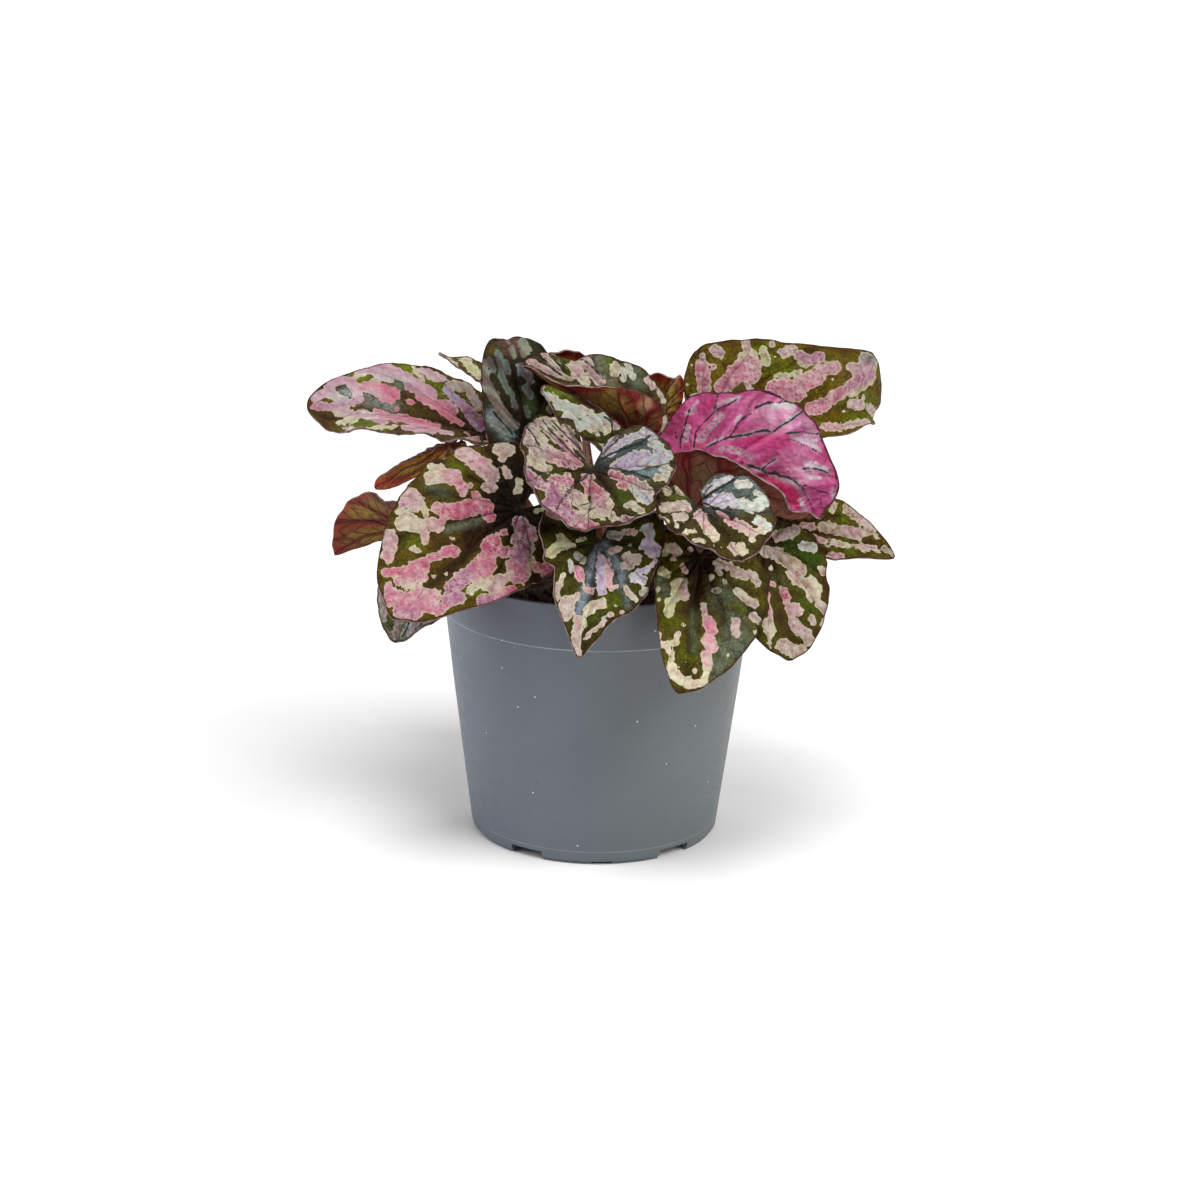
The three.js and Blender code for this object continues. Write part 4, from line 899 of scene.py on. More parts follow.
def line_distance(places, line):
    """How far each place is from a broken line."""
    if len(line) == 1:
        return np.linalg.norm(places - line[0], axis=1)
    nearest = np.full(len(places), 1e9)
    for start, end in zip(line[:-1], line[1:]):
        step = end - start
        share = np.clip((places - start) @ step / (step @ step + 1e-9), 0, 1)
        nearest = np.minimum(nearest, np.linalg.norm(places - start - share[:, None] * step, axis=1))
    return nearest


def band_depth(places, line, radius, rng):
    """How far each place is inside a patch: a band along its line, with a row of bumps along its edges."""
    depth = radius - line_distance(places, line)
    if radius < LOBED_FROM * LOBED_SHARE:
        return depth
    for station, along in zip(*stroke_stations(line, BUMP_SPACING)):
        for side in (-1, 1):
            bump = rng.uniform(*BUMP_SHARE) * min(radius, BUMP_RADIUS)
            turn = rng.uniform(-0.9, 0.9) + side * np.pi / 2
            aim = np.array([along[0] * np.cos(turn) - along[1] * np.sin(turn),
                            along[0] * np.sin(turn) + along[1] * np.cos(turn)])
            centre = station + aim * (radius - 0.75 * bump)
            depth = np.maximum(depth, bump - np.linalg.norm(places - centre, axis=1))
    return depth


def grown_strokes(blade, painted, cover, rng):
    """Patches between the main veins, where no listed stroke lies: one or two lanes to a sector, in three
    pigments that are the leaf's own."""
    favourite = rng.choice(len(SPOT_COLORS), 3)
    strokes = []
    leaf = blade.leaf
    for low, high in zip(RIBS[:-1], RIBS[1:]):
        one, other = (np.array(blade_outline(leaf, np.array([v + 1e-6]))).T[0] for v in (low, high))
        span = np.linalg.norm(one - other)
        start = rng.uniform(*SPOT_FIRST)
        while start < SPOT_LAST:
            end = min(SPOT_END, start + rng.uniform(*SPOT_LENGTH))
            wide_here = span * (start + end) / 2
            lanes = [0.5] if wide_here < TWO_LANES or rng.random() < 0.5 else [0.26, 0.76]
            for lane in lanes:
                radius = min(SPOT_LARGEST, wide_here * rng.uniform(*SPOT_SHARE) / len(lanes) ** 0.7)
                around = low + (high - low) * (lane + rng.uniform(-0.16, 0.16, 2))
                reach = np.array([start, end]) + rng.uniform(-0.05, 0.05, 2)
                points = np.stack(blade_outline(leaf, around), axis=1) * reach[:, None]
                room = 1e9
                if painted is not None:
                    room = np.min(np.linalg.norm(painted - points.mean(0), axis=1))
                clear = room > radius + SPOT_CLEARANCE
                if clear and rng.random() < 0.5 + cover / 2 and radius > SPOT_SMALLEST:
                    strokes.append((SPOT_COLORS[favourite[rng.integers(3)]], radius, points))
            start = end + rng.uniform(*SPOT_PAUSE) * (1.4 - cover)
    return strokes


def layer(below, above, share):
    """Colours with others laid over them, a share at each vertex."""
    return below * (1 - share[:, None]) + np.array(above) * share[:, None]


def paint(blade, points, facing, rng):
    """At every vertex: how far it is inside a patch and inside a dark stain, and the colours of the patches,
    of the ground and of the underside. Also how strongly the veins are drawn."""
    leaf = blade.leaf
    skin = {**SKIN_DEFAULTS, **SKINS.get(leaf["name"], {})}
    flat = np.stack([blade.s, blade.t], axis=1)
    pixels = photo_pixels(points)
    hidden = np.where(facing > 0.05, 0, 1e6)

    def to_flat(line):
        return flat[[np.argmin(((pixels - p) ** 2).sum(1) + hidden) for p in line]]

    def beyond(flat_line, radius):
        """How far a vertex is past the part of the blade that a stroke belongs to."""
        return np.maximum(0, line_distance(flat, flat_line) - 3 * radius - 4)

    bands, painted = [], []
    for pigment, (radius,), line in read_strokes(PATCHES, leaf, 1):
        flat_line = to_flat(line)
        painted.append(stroke_stations(flat_line, 1.5)[0])
        if radius >= LOBED_FROM:
            radius *= LOBED_SHARE
        depth = band_depth(pixels * PIXEL_SIZE, line * PIXEL_SIZE, radius, rng)
        bands.append((pigment, depth - beyond(flat_line, radius)))
    if skin["cover"] > 0:
        painted = np.vstack(painted) if painted else None
        for pigment, radius, line in grown_strokes(blade, painted, skin["cover"], rng):
            bands.append((pigment, band_depth(flat, line, radius, rng)))

    inside, ink = np.full(len(flat), -9.0), np.full(len(flat), -9.0)
    weights = np.full(len(flat), 1e-9)
    color = np.tile([*linear(PIGMENTS["cream"]), 1.0], (len(flat), 1)) * 1e-9
    for pigment, depth in bands:
        if pigment == INK:
            ink = np.maximum(ink, depth)
            continue
        inside = np.maximum(inside, depth)
        weight = np.exp(np.clip(depth, -12, 4) * 1.3)
        weights += weight
        tint = np.array(linear(PIGMENTS[pigment])) * skin["tone"] ** 2
        color += weight[:, None] * [*tint, 0.0 if pigment == RIMLESS else skin["rim"]]
    color /= weights[:, None]

    near_vein = np.exp(-((blade.rib / (0.13 * blade.span + 0.7)) ** 2))
    # Darker towards the stalk: partly the blade's own dark centre, partly painted shade in the plant's
    # hollow.
    inner = 1 - smoothstep((blade.rho - 0.08) / 0.45)
    far_off = smoothstep((-inside - 1.0) / 3.5)
    uneven = 0.3 * ripple(blade.s, blade.t, 5, rng)
    share = np.clip(0.65 * near_vein + 0.9 * inner + 0.7 * far_off + uneven, 0, 1)
    ground = layer(np.array(linear(skin["green"])), linear(skin["dark"]), share)
    # The washes, with painted shade and a painted sheen among them.
    for wash, (radius, strength), line in read_strokes(WASHES, leaf, 2):
        away = line_distance(pixels * PIXEL_SIZE, line * PIXEL_SIZE) + beyond(to_flat(line), radius)
        ground = layer(ground, linear(wash), strength * np.exp(-((away / radius) ** 2)))

    edge = 1 - smoothstep(blade.margin / (0.2 * leaf["wide"][0] + 1))
    blush = np.clip(0.8 * edge + 0.5 * near_vein + 0.35 * ripple(blade.s, blade.t, 9, rng), 0, 1)
    under = layer(np.array(linear(skin["under"])), linear(skin["under_vein"]), blush)
    # The painted glow of light shining through the undersides.
    below = facing < 0.1
    for glow, (radius, strength), line in read_strokes(GLOWS, leaf, 2):
        away = line_distance(pixels * PIXEL_SIZE, line * PIXEL_SIZE)
        under = layer(under, linear(glow), strength * below * np.exp(-((away / radius) ** 2)))

    if skin["flushed"]:
        own = np.hstack([ground, np.zeros((len(flat), 1))])
        color = np.where((inside > 0)[:, None], color, own)
        inside = np.maximum(inside, np.minimum(2.0, blade.margin - 0.3))
    return inside, ink, color, ground, under, skin["veins"]


# --------------------------------------------------------------------------------------------------------
# Materials
# --------------------------------------------------------------------------------------------------------
SMOOTH = {"interpolation_type": "SMOOTHSTEP"}  # a range with soft ends
TINT = {"data_type": "RGBA", "output": 2}  # a mix of two colours


def add_node(tree, kind, inputs=None, output=0, **settings):
    """Adds a node with its settings, each input's value or the socket it comes from, and gives one output."""
    node = tree.nodes.new("ShaderNode" + kind)
    for key, value in settings.items():
        setattr(node, key, value)
    for key, value in (inputs or {}).items():
        if isinstance(value, bpy.types.NodeSocket):
            tree.links.new(value, node.inputs[key])
        else:
            node.inputs[key].default_value = value
    return node.outputs[output] if node.outputs else None


def new_material(name):
    """An emptied material, and add_node for its tree."""
    material = bpy.data.materials.new(name)
    material.use_nodes = True
    material.node_tree.nodes.clear()
    return material, functools.partial(add_node, material.node_tree)


def finish(add, color, roughness, height, depth, specular=0.5):
    """The surface itself: its colour, gloss and fine relief, depth mm deep."""
    bump = add("Bump", {"Height": height, "Distance": depth * MM, "Strength": 1.0})
    shader = add("BsdfPrincipled", {"Base Color": color, "Roughness": roughness, "Normal": bump,
                                    "Specular IOR Level": specular})
    add("OutputMaterial", {0: shader})


# The blades' own map is 100 mm to a unit, so a scale of 100 / size gives a pattern of that size in mm.
PEBBLE = 100 / 1.7
SPECK = 100 / 0.7
BLOTCH = 100 / 5.0
RAGGED = 100 / 1.9
STREAK = 100 / 2.6


def vein_distances(add):
    """How far a point of the blade is from a main vein and from a side vein, in mm."""
    veins = add("Attribute", output="Vector", attribute_name="veins")
    sector, span, branch = add("SeparateXYZ", {0: veins}).node.outputs
    whole = add("Math", {0: sector}, operation="ROUND")
    off = add("Math", {0: sector, 1: whole}, operation="SUBTRACT")
    off = add("Math", {0: off}, operation="ABSOLUTE")
    rib = add("Math", {0: off, 1: span}, operation="MULTIPLY")
    whole = add("Math", {0: branch}, operation="ROUND")
    off = add("Math", {0: branch, 1: whole}, operation="SUBTRACT")
    off = add("Math", {0: off}, operation="ABSOLUTE")
    gap = add("Attribute", output="Fac", attribute_name="gap")
    return rib, add("Math", {0: off, 1: gap}, operation="MULTIPLY")


def pebbles(add, scale):
    """The blade's map, how near a point is to a skin cell's edge, and how far it is from the cell's crown."""
    flat = add("UVMap", uv_map="flat_leaf")
    stir = add("TexNoise", {"Vector": flat, "Scale": scale * 0.8, "Detail": 2.0}, "Color")
    moved = add("Mix", {0: 0.006, 4: flat, 5: stir}, 1, data_type="VECTOR")
    seam = add("TexVoronoi", {"Vector": moved, "Scale": scale}, feature="DISTANCE_TO_EDGE")
    crown = add("TexVoronoi", {"Vector": moved, "Scale": scale}, feature="SMOOTH_F1")
    return flat, seam, crown


def begonia_upper_skin():
    """Living leaf, upper face: pebbled and satin, each pebble a small lens, its crown painted lighter as a
    highlight and its seam painted darker as shade. The pale patches are air under a clear skin, whole pebbles
    at a time, so their edges scallop."""
    material, add = new_material("begonia_upper_skin")
    flat, seam, crown = pebbles(add, PEBBLE)
    rib, side_vein = vein_distances(add)
    height = add("MapRange", {0: crown, 1: 0.1, 2: 0.66, 3: 1, 4: 0}, **SMOOTH)

    # Where the patches are: the painted distance, made ragged and scalloped.
    patch = add("Attribute", output="Fac", attribute_name="patch")
    rough = add("TexNoise", {"Vector": flat, "Scale": RAGGED, "Detail": 1.5})
    ragged = add("Math", {0: rough, 1: 0.62, 2: -0.31}, operation="MULTIPLY_ADD")
    scallop = add("Math", {0: height, 1: 0.65, 2: -0.26}, operation="MULTIPLY_ADD")
    inside = add("Math", {0: ragged, 1: scallop}, operation="ADD")
    inside = add("Math", {0: patch, 1: inside}, operation="ADD")
    patch_mask = add("MapRange", {0: inside, 1: -0.07, 2: 0.12, 3: 0, 4: 1}, **SMOOTH)

    # The patches' own colour: deep blotches, or streaks along the veins where there is no rim.
    pigment = add("Attribute", output="Color", attribute_name="patch_color")
    rimmed = add("Attribute", output="Alpha", attribute_name="patch_color")
    veins = add("Attribute", output="Vector", attribute_name="veins")
    sector, _, branch = add("SeparateXYZ", {0: veins}).node.outputs
    across = add("Math", {0: sector, 1: 4.5}, operation="MULTIPLY")
    outward = add("Math", {0: branch, 1: 0.55}, operation="MULTIPLY")
    along_veins = add("CombineXYZ", {0: across, 1: outward})
    ray = add("TexNoise", {"Vector": along_veins, "Scale": 1.0, "Detail": 5.0})
    rayed = add("MapRange", {0: ray, 1: 0.5, 2: 0.4, 3: 0, 4: 0.9}, **SMOOTH)
    streak = add("TexNoise", {"Vector": flat, "Scale": STREAK, "Detail": 3.0})
    crowned = add("Math", {0: height, 1: 0.16, 2: streak}, operation="MULTIPLY_ADD")
    blotched = add("MapRange", {0: crowned, 1: 0.45, 2: 0.72, 3: 0, 4: 0.95}, **SMOOTH)
    share = add("Mix", {0: rimmed, 2: rayed, 3: blotched})
    deep = add("VectorMath", {0: pigment, 1: (0.76, 0.55, 0.62)}, operation="MULTIPLY")
    pigment = add("Mix", {0: share, 6: pigment, 7: deep}, **TINT)
    cloud = add("TexNoise", {"Vector": flat, "Scale": BLOTCH * 1.8, "Detail": 4.0})
    pale = add("MapRange", {0: cloud, 1: 0.45, 2: 0.75, 3: 0, 4: 0.5}, **SMOOTH)
    pale = add("Math", {0: pale, 1: rimmed}, operation="MULTIPLY")
    pigment = add("Mix", {0: pale, 6: pigment, 7: rgba("d0c3b8")}, **TINT)
    pale_ray = add("Math", {0: rimmed, 1: -0.2, 2: ray}, operation="MULTIPLY_ADD")
    pale_ray = add("MapRange", {0: pale_ray, 1: 0.47, 2: 0.62, 3: 0, 4: 0.9}, **SMOOTH)
    bright = add("VectorMath", {0: pigment, 1: (1.3, 1.75, 1.45)}, operation="MULTIPLY")
    pigment = add("Mix", {0: pale_ray, 6: pigment, 7: bright}, **TINT)

    # A pale net along the seams here and there, a lime rim round each patch, and a painted highlight on the
    # pebbles' crowns.
    here = add("TexNoise", {"Vector": flat, "Scale": BLOTCH, "Detail": 3.0})
    here = add("MapRange", {0: here, 1: 0.35, 2: 0.65, 3: 0, 4: 1}, **SMOOTH)
    net = add("MapRange", {0: seam, 1: 0, 2: 0.16, 3: 0.36, 4: 0}, **SMOOTH)
    net = add("Math", {0: net, 1: here}, operation="MULTIPLY")
    net = add("Math", {0: net, 1: rimmed}, operation="MULTIPLY")
    pigment = add("Mix", {0: net, 6: pigment, 7: rgba("dccbc6")}, **TINT)
    rim = add("MapRange", {0: inside, 1: 0.1, 2: 0.9, 3: 0.42, 4: 0}, **SMOOTH)
    rim = add("Math", {0: rim, 1: rimmed}, operation="MULTIPLY")
    pigment = add("Mix", {0: rim, 6: pigment, 7: rgba("bfc09a")}, **TINT)
    # Painted highlight: each pebble's crown lighter, shading off towards its seam.
    lens = add("MapRange", {0: height, 1: 0, 2: 1, 3: 0.9, 4: 1.08}, **SMOOTH)
    pigment = add("VectorMath", {0: pigment, 3: lens}, operation="SCALE")

    # The green between the patches, mottled, and painted darker in the seams as shade.
    ground = add("Attribute", output="Color", attribute_name="ground_color")
    mottle = add("TexNoise", {"Vector": flat, "Scale": SPECK, "Detail": 4.0})
    mottle = add("MapRange", {0: mottle, 1: 0.3, 2: 0.75, 3: 0.68, 4: 1.3}, **SMOOTH)
    ground = add("VectorMath", {0: ground, 3: mottle}, operation="SCALE")
    shade = add("TexNoise", {"Vector": flat, "Scale": BLOTCH * 1.4, "Detail": 4.0})
    shade = add("MapRange", {0: shade, 1: 0.45, 2: 0.66, 3: 0, 4: 0.55}, **SMOOTH)
    ground = add("Mix", {0: shade, 6: ground, 7: rgba("2c1b0a")}, **TINT)
    # Painted shade: the ground darker down in the seams between the pebbles.
    seams = add("MapRange", {0: seam, 1: 0, 2: 0.2, 3: 0.35, 4: 0}, **SMOOTH)
    ground = add("Mix", {0: seams, 6: ground, 7: rgba("150f06")}, **TINT)
    skin = add("Mix", {0: patch_mask, 6: ground, 7: pigment}, **TINT)

    # The veins, the dark stains along some of them, and the margin.
    main = add("MapRange", {0: rib, 1: 0.2, 2: 0.7, 3: 1, 4: 0}, **SMOOTH)
    side = add("MapRange", {0: side_vein, 1: 0.08, 2: 0.38, 3: 0.7, 4: 0}, **SMOOTH)
    line = add("Math", {0: main, 1: side}, operation="MAXIMUM")
    strength = add("Attribute", output="Alpha", attribute_name="ground_color")
    line = add("Math", {0: line, 1: strength}, operation="MULTIPLY")
    broken = add("TexNoise", {"Vector": flat, "Scale": BLOTCH * 1.7, "Detail": 3.0})
    broken = add("MapRange", {0: broken, 1: 0.25, 2: 0.55, 3: 0.3, 4: 1}, **SMOOTH)
    line = add("Math", {0: line, 1: broken}, operation="MULTIPLY")
    skin = add("Mix", {0: line, 6: skin, 7: rgba("261c16")}, **TINT)
    ink = add("Attribute", output="Fac", attribute_name="ink")
    stain = add("Math", {0: ragged, 1: 1.4, 2: ink}, operation="MULTIPLY_ADD")
    stain = add("MapRange", {0: stain, 1: -0.05, 2: 0.25, 3: 0, 4: 0.95}, **SMOOTH)
    skin = add("Mix", {0: stain, 6: skin, 7: rgba("1f2726")}, **TINT)
    margin = add("Attribute", output="Fac", attribute_name="margin")
    border = add("Math", {0: ragged, 1: 0.95, 2: margin}, operation="MULTIPLY_ADD")
    border = add("MapRange", {0: border, 1: 0.25, 2: 0.8, 3: 0.85, 4: 0}, **SMOOTH)
    skin = add("Mix", {0: border, 6: skin, 7: rgba("3a1a14")}, **TINT)

    satin = add("TexNoise", {"Vector": flat, "Scale": SPECK, "Detail": 3.0})
    gloss = add("MapRange", {0: satin, 1: 0.3, 2: 0.7, 3: 0.42, 4: 0.6}, **SMOOTH)
    grain = add("TexNoise", {"Vector": flat, "Scale": SPECK * 1.6, "Detail": 3.0})
    relief = add("Math", {0: grain, 1: 0.3, 2: height}, operation="MULTIPLY_ADD")
    finish(add, skin, gloss, relief, 0.42, specular=0.06)
    return material


def begonia_underside():
    """Living leaf, lower face: thin, and painted with the olive glow of light shining through it, wine red
    where it is veined.
    """
    material, add = new_material("begonia_underside")
    flat, seam, crown = pebbles(add, PEBBLE * 0.62)
    rib, side_vein = vein_distances(add)
    skin = add("Attribute", output="Color", attribute_name="under_color")
    mottle = add("TexNoise", {"Vector": flat, "Scale": SPECK, "Detail": 4.0})
    mottle = add("MapRange", {0: mottle, 1: 0.3, 2: 0.7, 3: 0.8, 4: 1.2}, **SMOOTH)
    skin = add("VectorMath", {0: skin, 3: mottle}, operation="SCALE")
    net = add("MapRange", {0: seam, 1: 0, 2: 0.12, 3: 0.4, 4: 0}, **SMOOTH)
    skin = add("Mix", {0: net, 6: skin, 7: rgba("5c1c16")}, **TINT)
    main = add("MapRange", {0: rib, 1: 0.3, 2: 1, 3: 1, 4: 0}, **SMOOTH)
    side = add("MapRange", {0: side_vein, 1: 0.15, 2: 0.6, 3: 0.7, 4: 0}, **SMOOTH)
    line = add("Math", {0: main, 1: side}, operation="MAXIMUM")
    drawn = add("Math", {0: line, 1: 0.85}, operation="MULTIPLY")
    skin = add("Mix", {0: drawn, 6: skin, 7: rgba("5e1414")}, **TINT)
    height = add("Math", {0: crown, 1: -0.6, 2: line}, operation="MULTIPLY_ADD")
    finish(add, skin, 0.46, height, 0.35, specular=0.2)
    return material


def begonia_cut_edge():
    """The blade's rim, where the clear skin folds over: a thin line of pinkish tan that catches the light."""
    material, add = new_material("begonia_leaf_rim")
    flat = add("UVMap", uv_map="flat_leaf")
    noise = add("TexNoise", {"Vector": flat, "Scale": 100 / 3.0, "Detail": 2.0})
    share = add("MapRange", {0: noise, 1: 0.35, 2: 0.65, 3: 0, 4: 1}, **SMOOTH)
    color = add("Mix", {0: share, 6: rgba("84706a"), 7: rgba("55332e")}, **TINT)
    finish(add, color, 0.5, noise, 0.1)
    return material


def begonia_stalk():
    """Living stalk: watery and satin, wine red over olive, streaked lengthwise with paler flecks."""
    material, add = new_material("begonia_stalk")
    place = add("TexCoord", output="Object")
    long = add("Mapping", {"Vector": place, "Scale": (1 / (0.8 * MM), 1 / (0.8 * MM), 1 / (6 * MM))})
    streak = add("TexNoise", {"Vector": long, "Scale": 1.0, "Detail": 3.0})
    share = add("MapRange", {0: streak, 1: 0.35, 2: 0.65, 3: 0, 4: 1}, **SMOOTH)
    color = add("Mix", {0: share, 6: rgba("6e2a22"), 7: rgba("7d5a30")}, **TINT)
    fleck = add("TexNoise", {"Vector": place, "Scale": 1 / (1.1 * MM), "Detail": 2.0})
    fleck = add("MapRange", {0: fleck, 1: 0.62, 2: 0.72, 3: 0, 4: 0.7}, **SMOOTH)
    color = add("Mix", {0: fleck, 6: color, 7: rgba("b08a70")}, **TINT)
    finish(add, color, 0.4, streak, 0.15)
    return material


def begonia_hair():
    """The stalk's stiff hairs: pale pink to wine, with a soft sheen."""
    material, add = new_material("begonia_hair")
    place = add("TexCoord", output="Object")
    noise = add("TexNoise", {"Vector": place, "Scale": 1 / (2 * MM)})
    color = add("Mix", {0: noise, 6: rgba("c9a79a"), 7: rgba("a45a50")}, **TINT)
    finish(add, color, 0.5, noise, 0.02)
    return material


def pot_polypropylene():
    """Injection-moulded polypropylene, recycled grey: an even satin with a faint orange peel, dust specks,
    soft scuffs, a painted highlight along the lower edge of the rim band, a thin pale line at the foot, and a
    bluish grey painted greener on one side as the light there tints it."""
    material, add = new_material("pot_polypropylene")
    place = add("TexCoord", output="Object")
    across, _, height = add("SeparateXYZ", {0: place}).node.outputs
    # Painted light: the grey is painted greener towards +x, where the light tints it.
    painted_light_tint = add("MapRange", {0: across, 1: -0.055, 2: 0.055, 3: 0, 4: 1}, **SMOOTH)
    color = add("Mix", {0: painted_light_tint, 6: rgba("606774"), 7: rgba("5f6564")}, **TINT)
    cloud = add("TexNoise", {"Vector": place, "Scale": 1 / (26 * MM), "Detail": 2.0})
    cloud = add("MapRange", {0: cloud, 1: 0.35, 2: 0.65, 3: 0, 4: 0.25}, **SMOOTH)
    color = add("Mix", {0: cloud, 6: color, 7: rgba("545c63")}, **TINT)
    grime = add("TexNoise", {"Vector": place, "Scale": 1 / (1.6 * MM), "Detail": 4.0})
    grime = add("MapRange", {0: grime, 1: 0.62, 2: 0.75, 3: 0, 4: 0.25}, **SMOOTH)
    color = add("Mix", {0: grime, 6: color, 7: rgba("4d545a")}, **TINT)

    # Painted highlight: a thin pale line along the lower edge of the rim band, broken here and there, where
    # light catches the small step.
    highlight_breaks = add("TexNoise", {"Vector": place, "Scale": 1 / (14 * MM), "Detail": 2.0})
    highlight_breaks = add("MapRange", {0: highlight_breaks, 1: 0.35, 2: 0.6, 3: 0.25, 4: 0.75}, **SMOOTH)
    line = add("Math", {0: height, 1: (BAND_BOTTOM + 0.1) * MM}, operation="SUBTRACT")
    line = add("Math", {0: line}, operation="ABSOLUTE")
    line = add("MapRange", {0: line, 1: 0.1 * MM, 2: 0.32 * MM, 3: 1, 4: 0}, **SMOOTH)
    line = add("Math", {0: line, 1: highlight_breaks}, operation="MULTIPLY")
    color = add("Mix", {0: line, 6: color, 7: rgba("a9b0b4")}, **TINT)
    line = add("Math", {0: height, 1: FOOT_LINE * MM}, operation="SUBTRACT")
    line = add("Math", {0: line}, operation="ABSOLUTE")
    line = add("MapRange", {0: line, 1: 0.08 * MM, 2: 0.3 * MM, 3: 0.3, 4: 0}, **SMOOTH)
    color = add("Mix", {0: line, 6: color, 7: rgba("a3abb0")}, **TINT)

    cells = add("TexVoronoi", {"Vector": place, "Scale": 1 / (5.5 * MM)})
    speck = add("MapRange", {0: cells, 1: 0.045, 2: 0.07, 3: 1, 4: 0}, **SMOOTH)
    draw = add("SeparateColor", {0: cells.node.outputs["Color"]})
    pale = add("MapRange", {0: draw, 1: 0.45, 2: 0.75, 3: 0, 4: 0.9}, **SMOOTH)
    pale = add("Math", {0: speck, 1: pale}, operation="MULTIPLY")
    color = add("Mix", {0: pale, 6: color, 7: rgba("d8dbdc")}, **TINT)
    dark = add("MapRange", {0: draw, 1: 0.35, 2: 0.25, 3: 0, 4: 0.7}, **SMOOTH)
    dark = add("Math", {0: speck, 1: dark}, operation="MULTIPLY")
    color = add("Mix", {0: dark, 6: color, 7: rgba("3c4146")}, **TINT)

    stretched = add("Mapping", {"Vector": place, "Scale": (1.0, 1.0, 2.5)})
    scuff = add("TexNoise", {"Vector": stretched, "Scale": 1 / (7 * MM), "Detail": 5.0})
    gloss = add("MapRange", {0: scuff, 1: 0.35, 2: 0.7, 3: 0.45, 4: 0.53}, **SMOOTH)
    peel = add("TexNoise", {"Vector": place, "Scale": 1 / (0.5 * MM), "Detail": 2.0})
    finish(add, color, gloss, peel, 0.02)
    return material


def potting_peat():
    """Moist peat: nearly black, dull, with brown fibres and a few pale grains."""
    material, add = new_material("potting_peat")
    place = add("TexCoord", output="Object")
    fibres = add("TexNoise", {"Vector": place, "Scale": 1 / (2.5 * MM), "Detail": 4.0})
    fibres = add("MapRange", {0: fibres, 1: 0.35, 2: 0.68, 3: 0, 4: 1}, **SMOOTH)
    color = add("Mix", {0: fibres, 6: rgba("1c140f"), 7: rgba("4a3627")}, **TINT)
    grains = add("TexNoise", {"Vector": place, "Scale": 1 / (0.8 * MM), "Detail": 4.0})
    grains = add("MapRange", {0: grains, 1: 0.66, 2: 0.74, 3: 0, 4: 0.8}, **SMOOTH)
    color = add("Mix", {0: grains, 6: color, 7: rgba("8a7660")}, **TINT)
    lumps = add("TexNoise", {"Vector": place, "Scale": 1 / (0.9 * MM), "Detail": 6.0})
    finish(add, color, 0.95, lumps, 0.8)
    return material


def studio_white():
    """The studio's seamless paper: white and matt."""
    material, add = new_material("studio_white")
    white = (0.93, 0.93, 0.93, 1)
    shader = add("BsdfPrincipled", {"Base Color": white, "Roughness": 0.9, "Specular IOR Level": 0.1})
    add("OutputMaterial", {0: shader})
    return material


# --------------------------------------------------------------------------------------------------------
# Pieces
# --------------------------------------------------------------------------------------------------------
def last_piece(name):
    """The object that an operator has just made, named."""
    piece = bpy.context.active_object
    piece.name = piece.data.name = name
    return piece


def apply_modifier(piece, kind, **settings):
    bpy.context.view_layer.objects.active = piece
    bpy.ops.object.modifier_add(type=kind)
    modifier = piece.modifiers[-1]
    for key, value in settings.items():
        setattr(modifier, key, value)
    bpy.ops.object.modifier_apply(modifier=modifier.name)


def edit(*steps):
    """Runs mesh operators on all of the active object."""
    bpy.ops.object.mode_set(mode="EDIT")
    bpy.ops.mesh.select_all(action="SELECT")
    for step in steps:
        step()
    bpy.ops.object.mode_set(mode="OBJECT")


def get_vertices(mesh):
    places = np.zeros(len(mesh.vertices) * 3)
    mesh.vertices.foreach_get("co", places)
    return places.reshape(-1, 3)


def set_vertices(mesh, points):
    """Puts the vertices at points in mm."""
    mesh.vertices.foreach_set("co", (points * MM).ravel())
    mesh.update()


def set_attribute(mesh, name, kind, values):
    attribute = mesh.attributes.new(name, kind, "POINT")
    key = {"FLOAT": "value", "FLOAT_VECTOR": "vector", "FLOAT_COLOR": "color"}[kind]
    attribute.data.foreach_set(key, np.ascontiguousarray(values, dtype=np.float32).ravel())


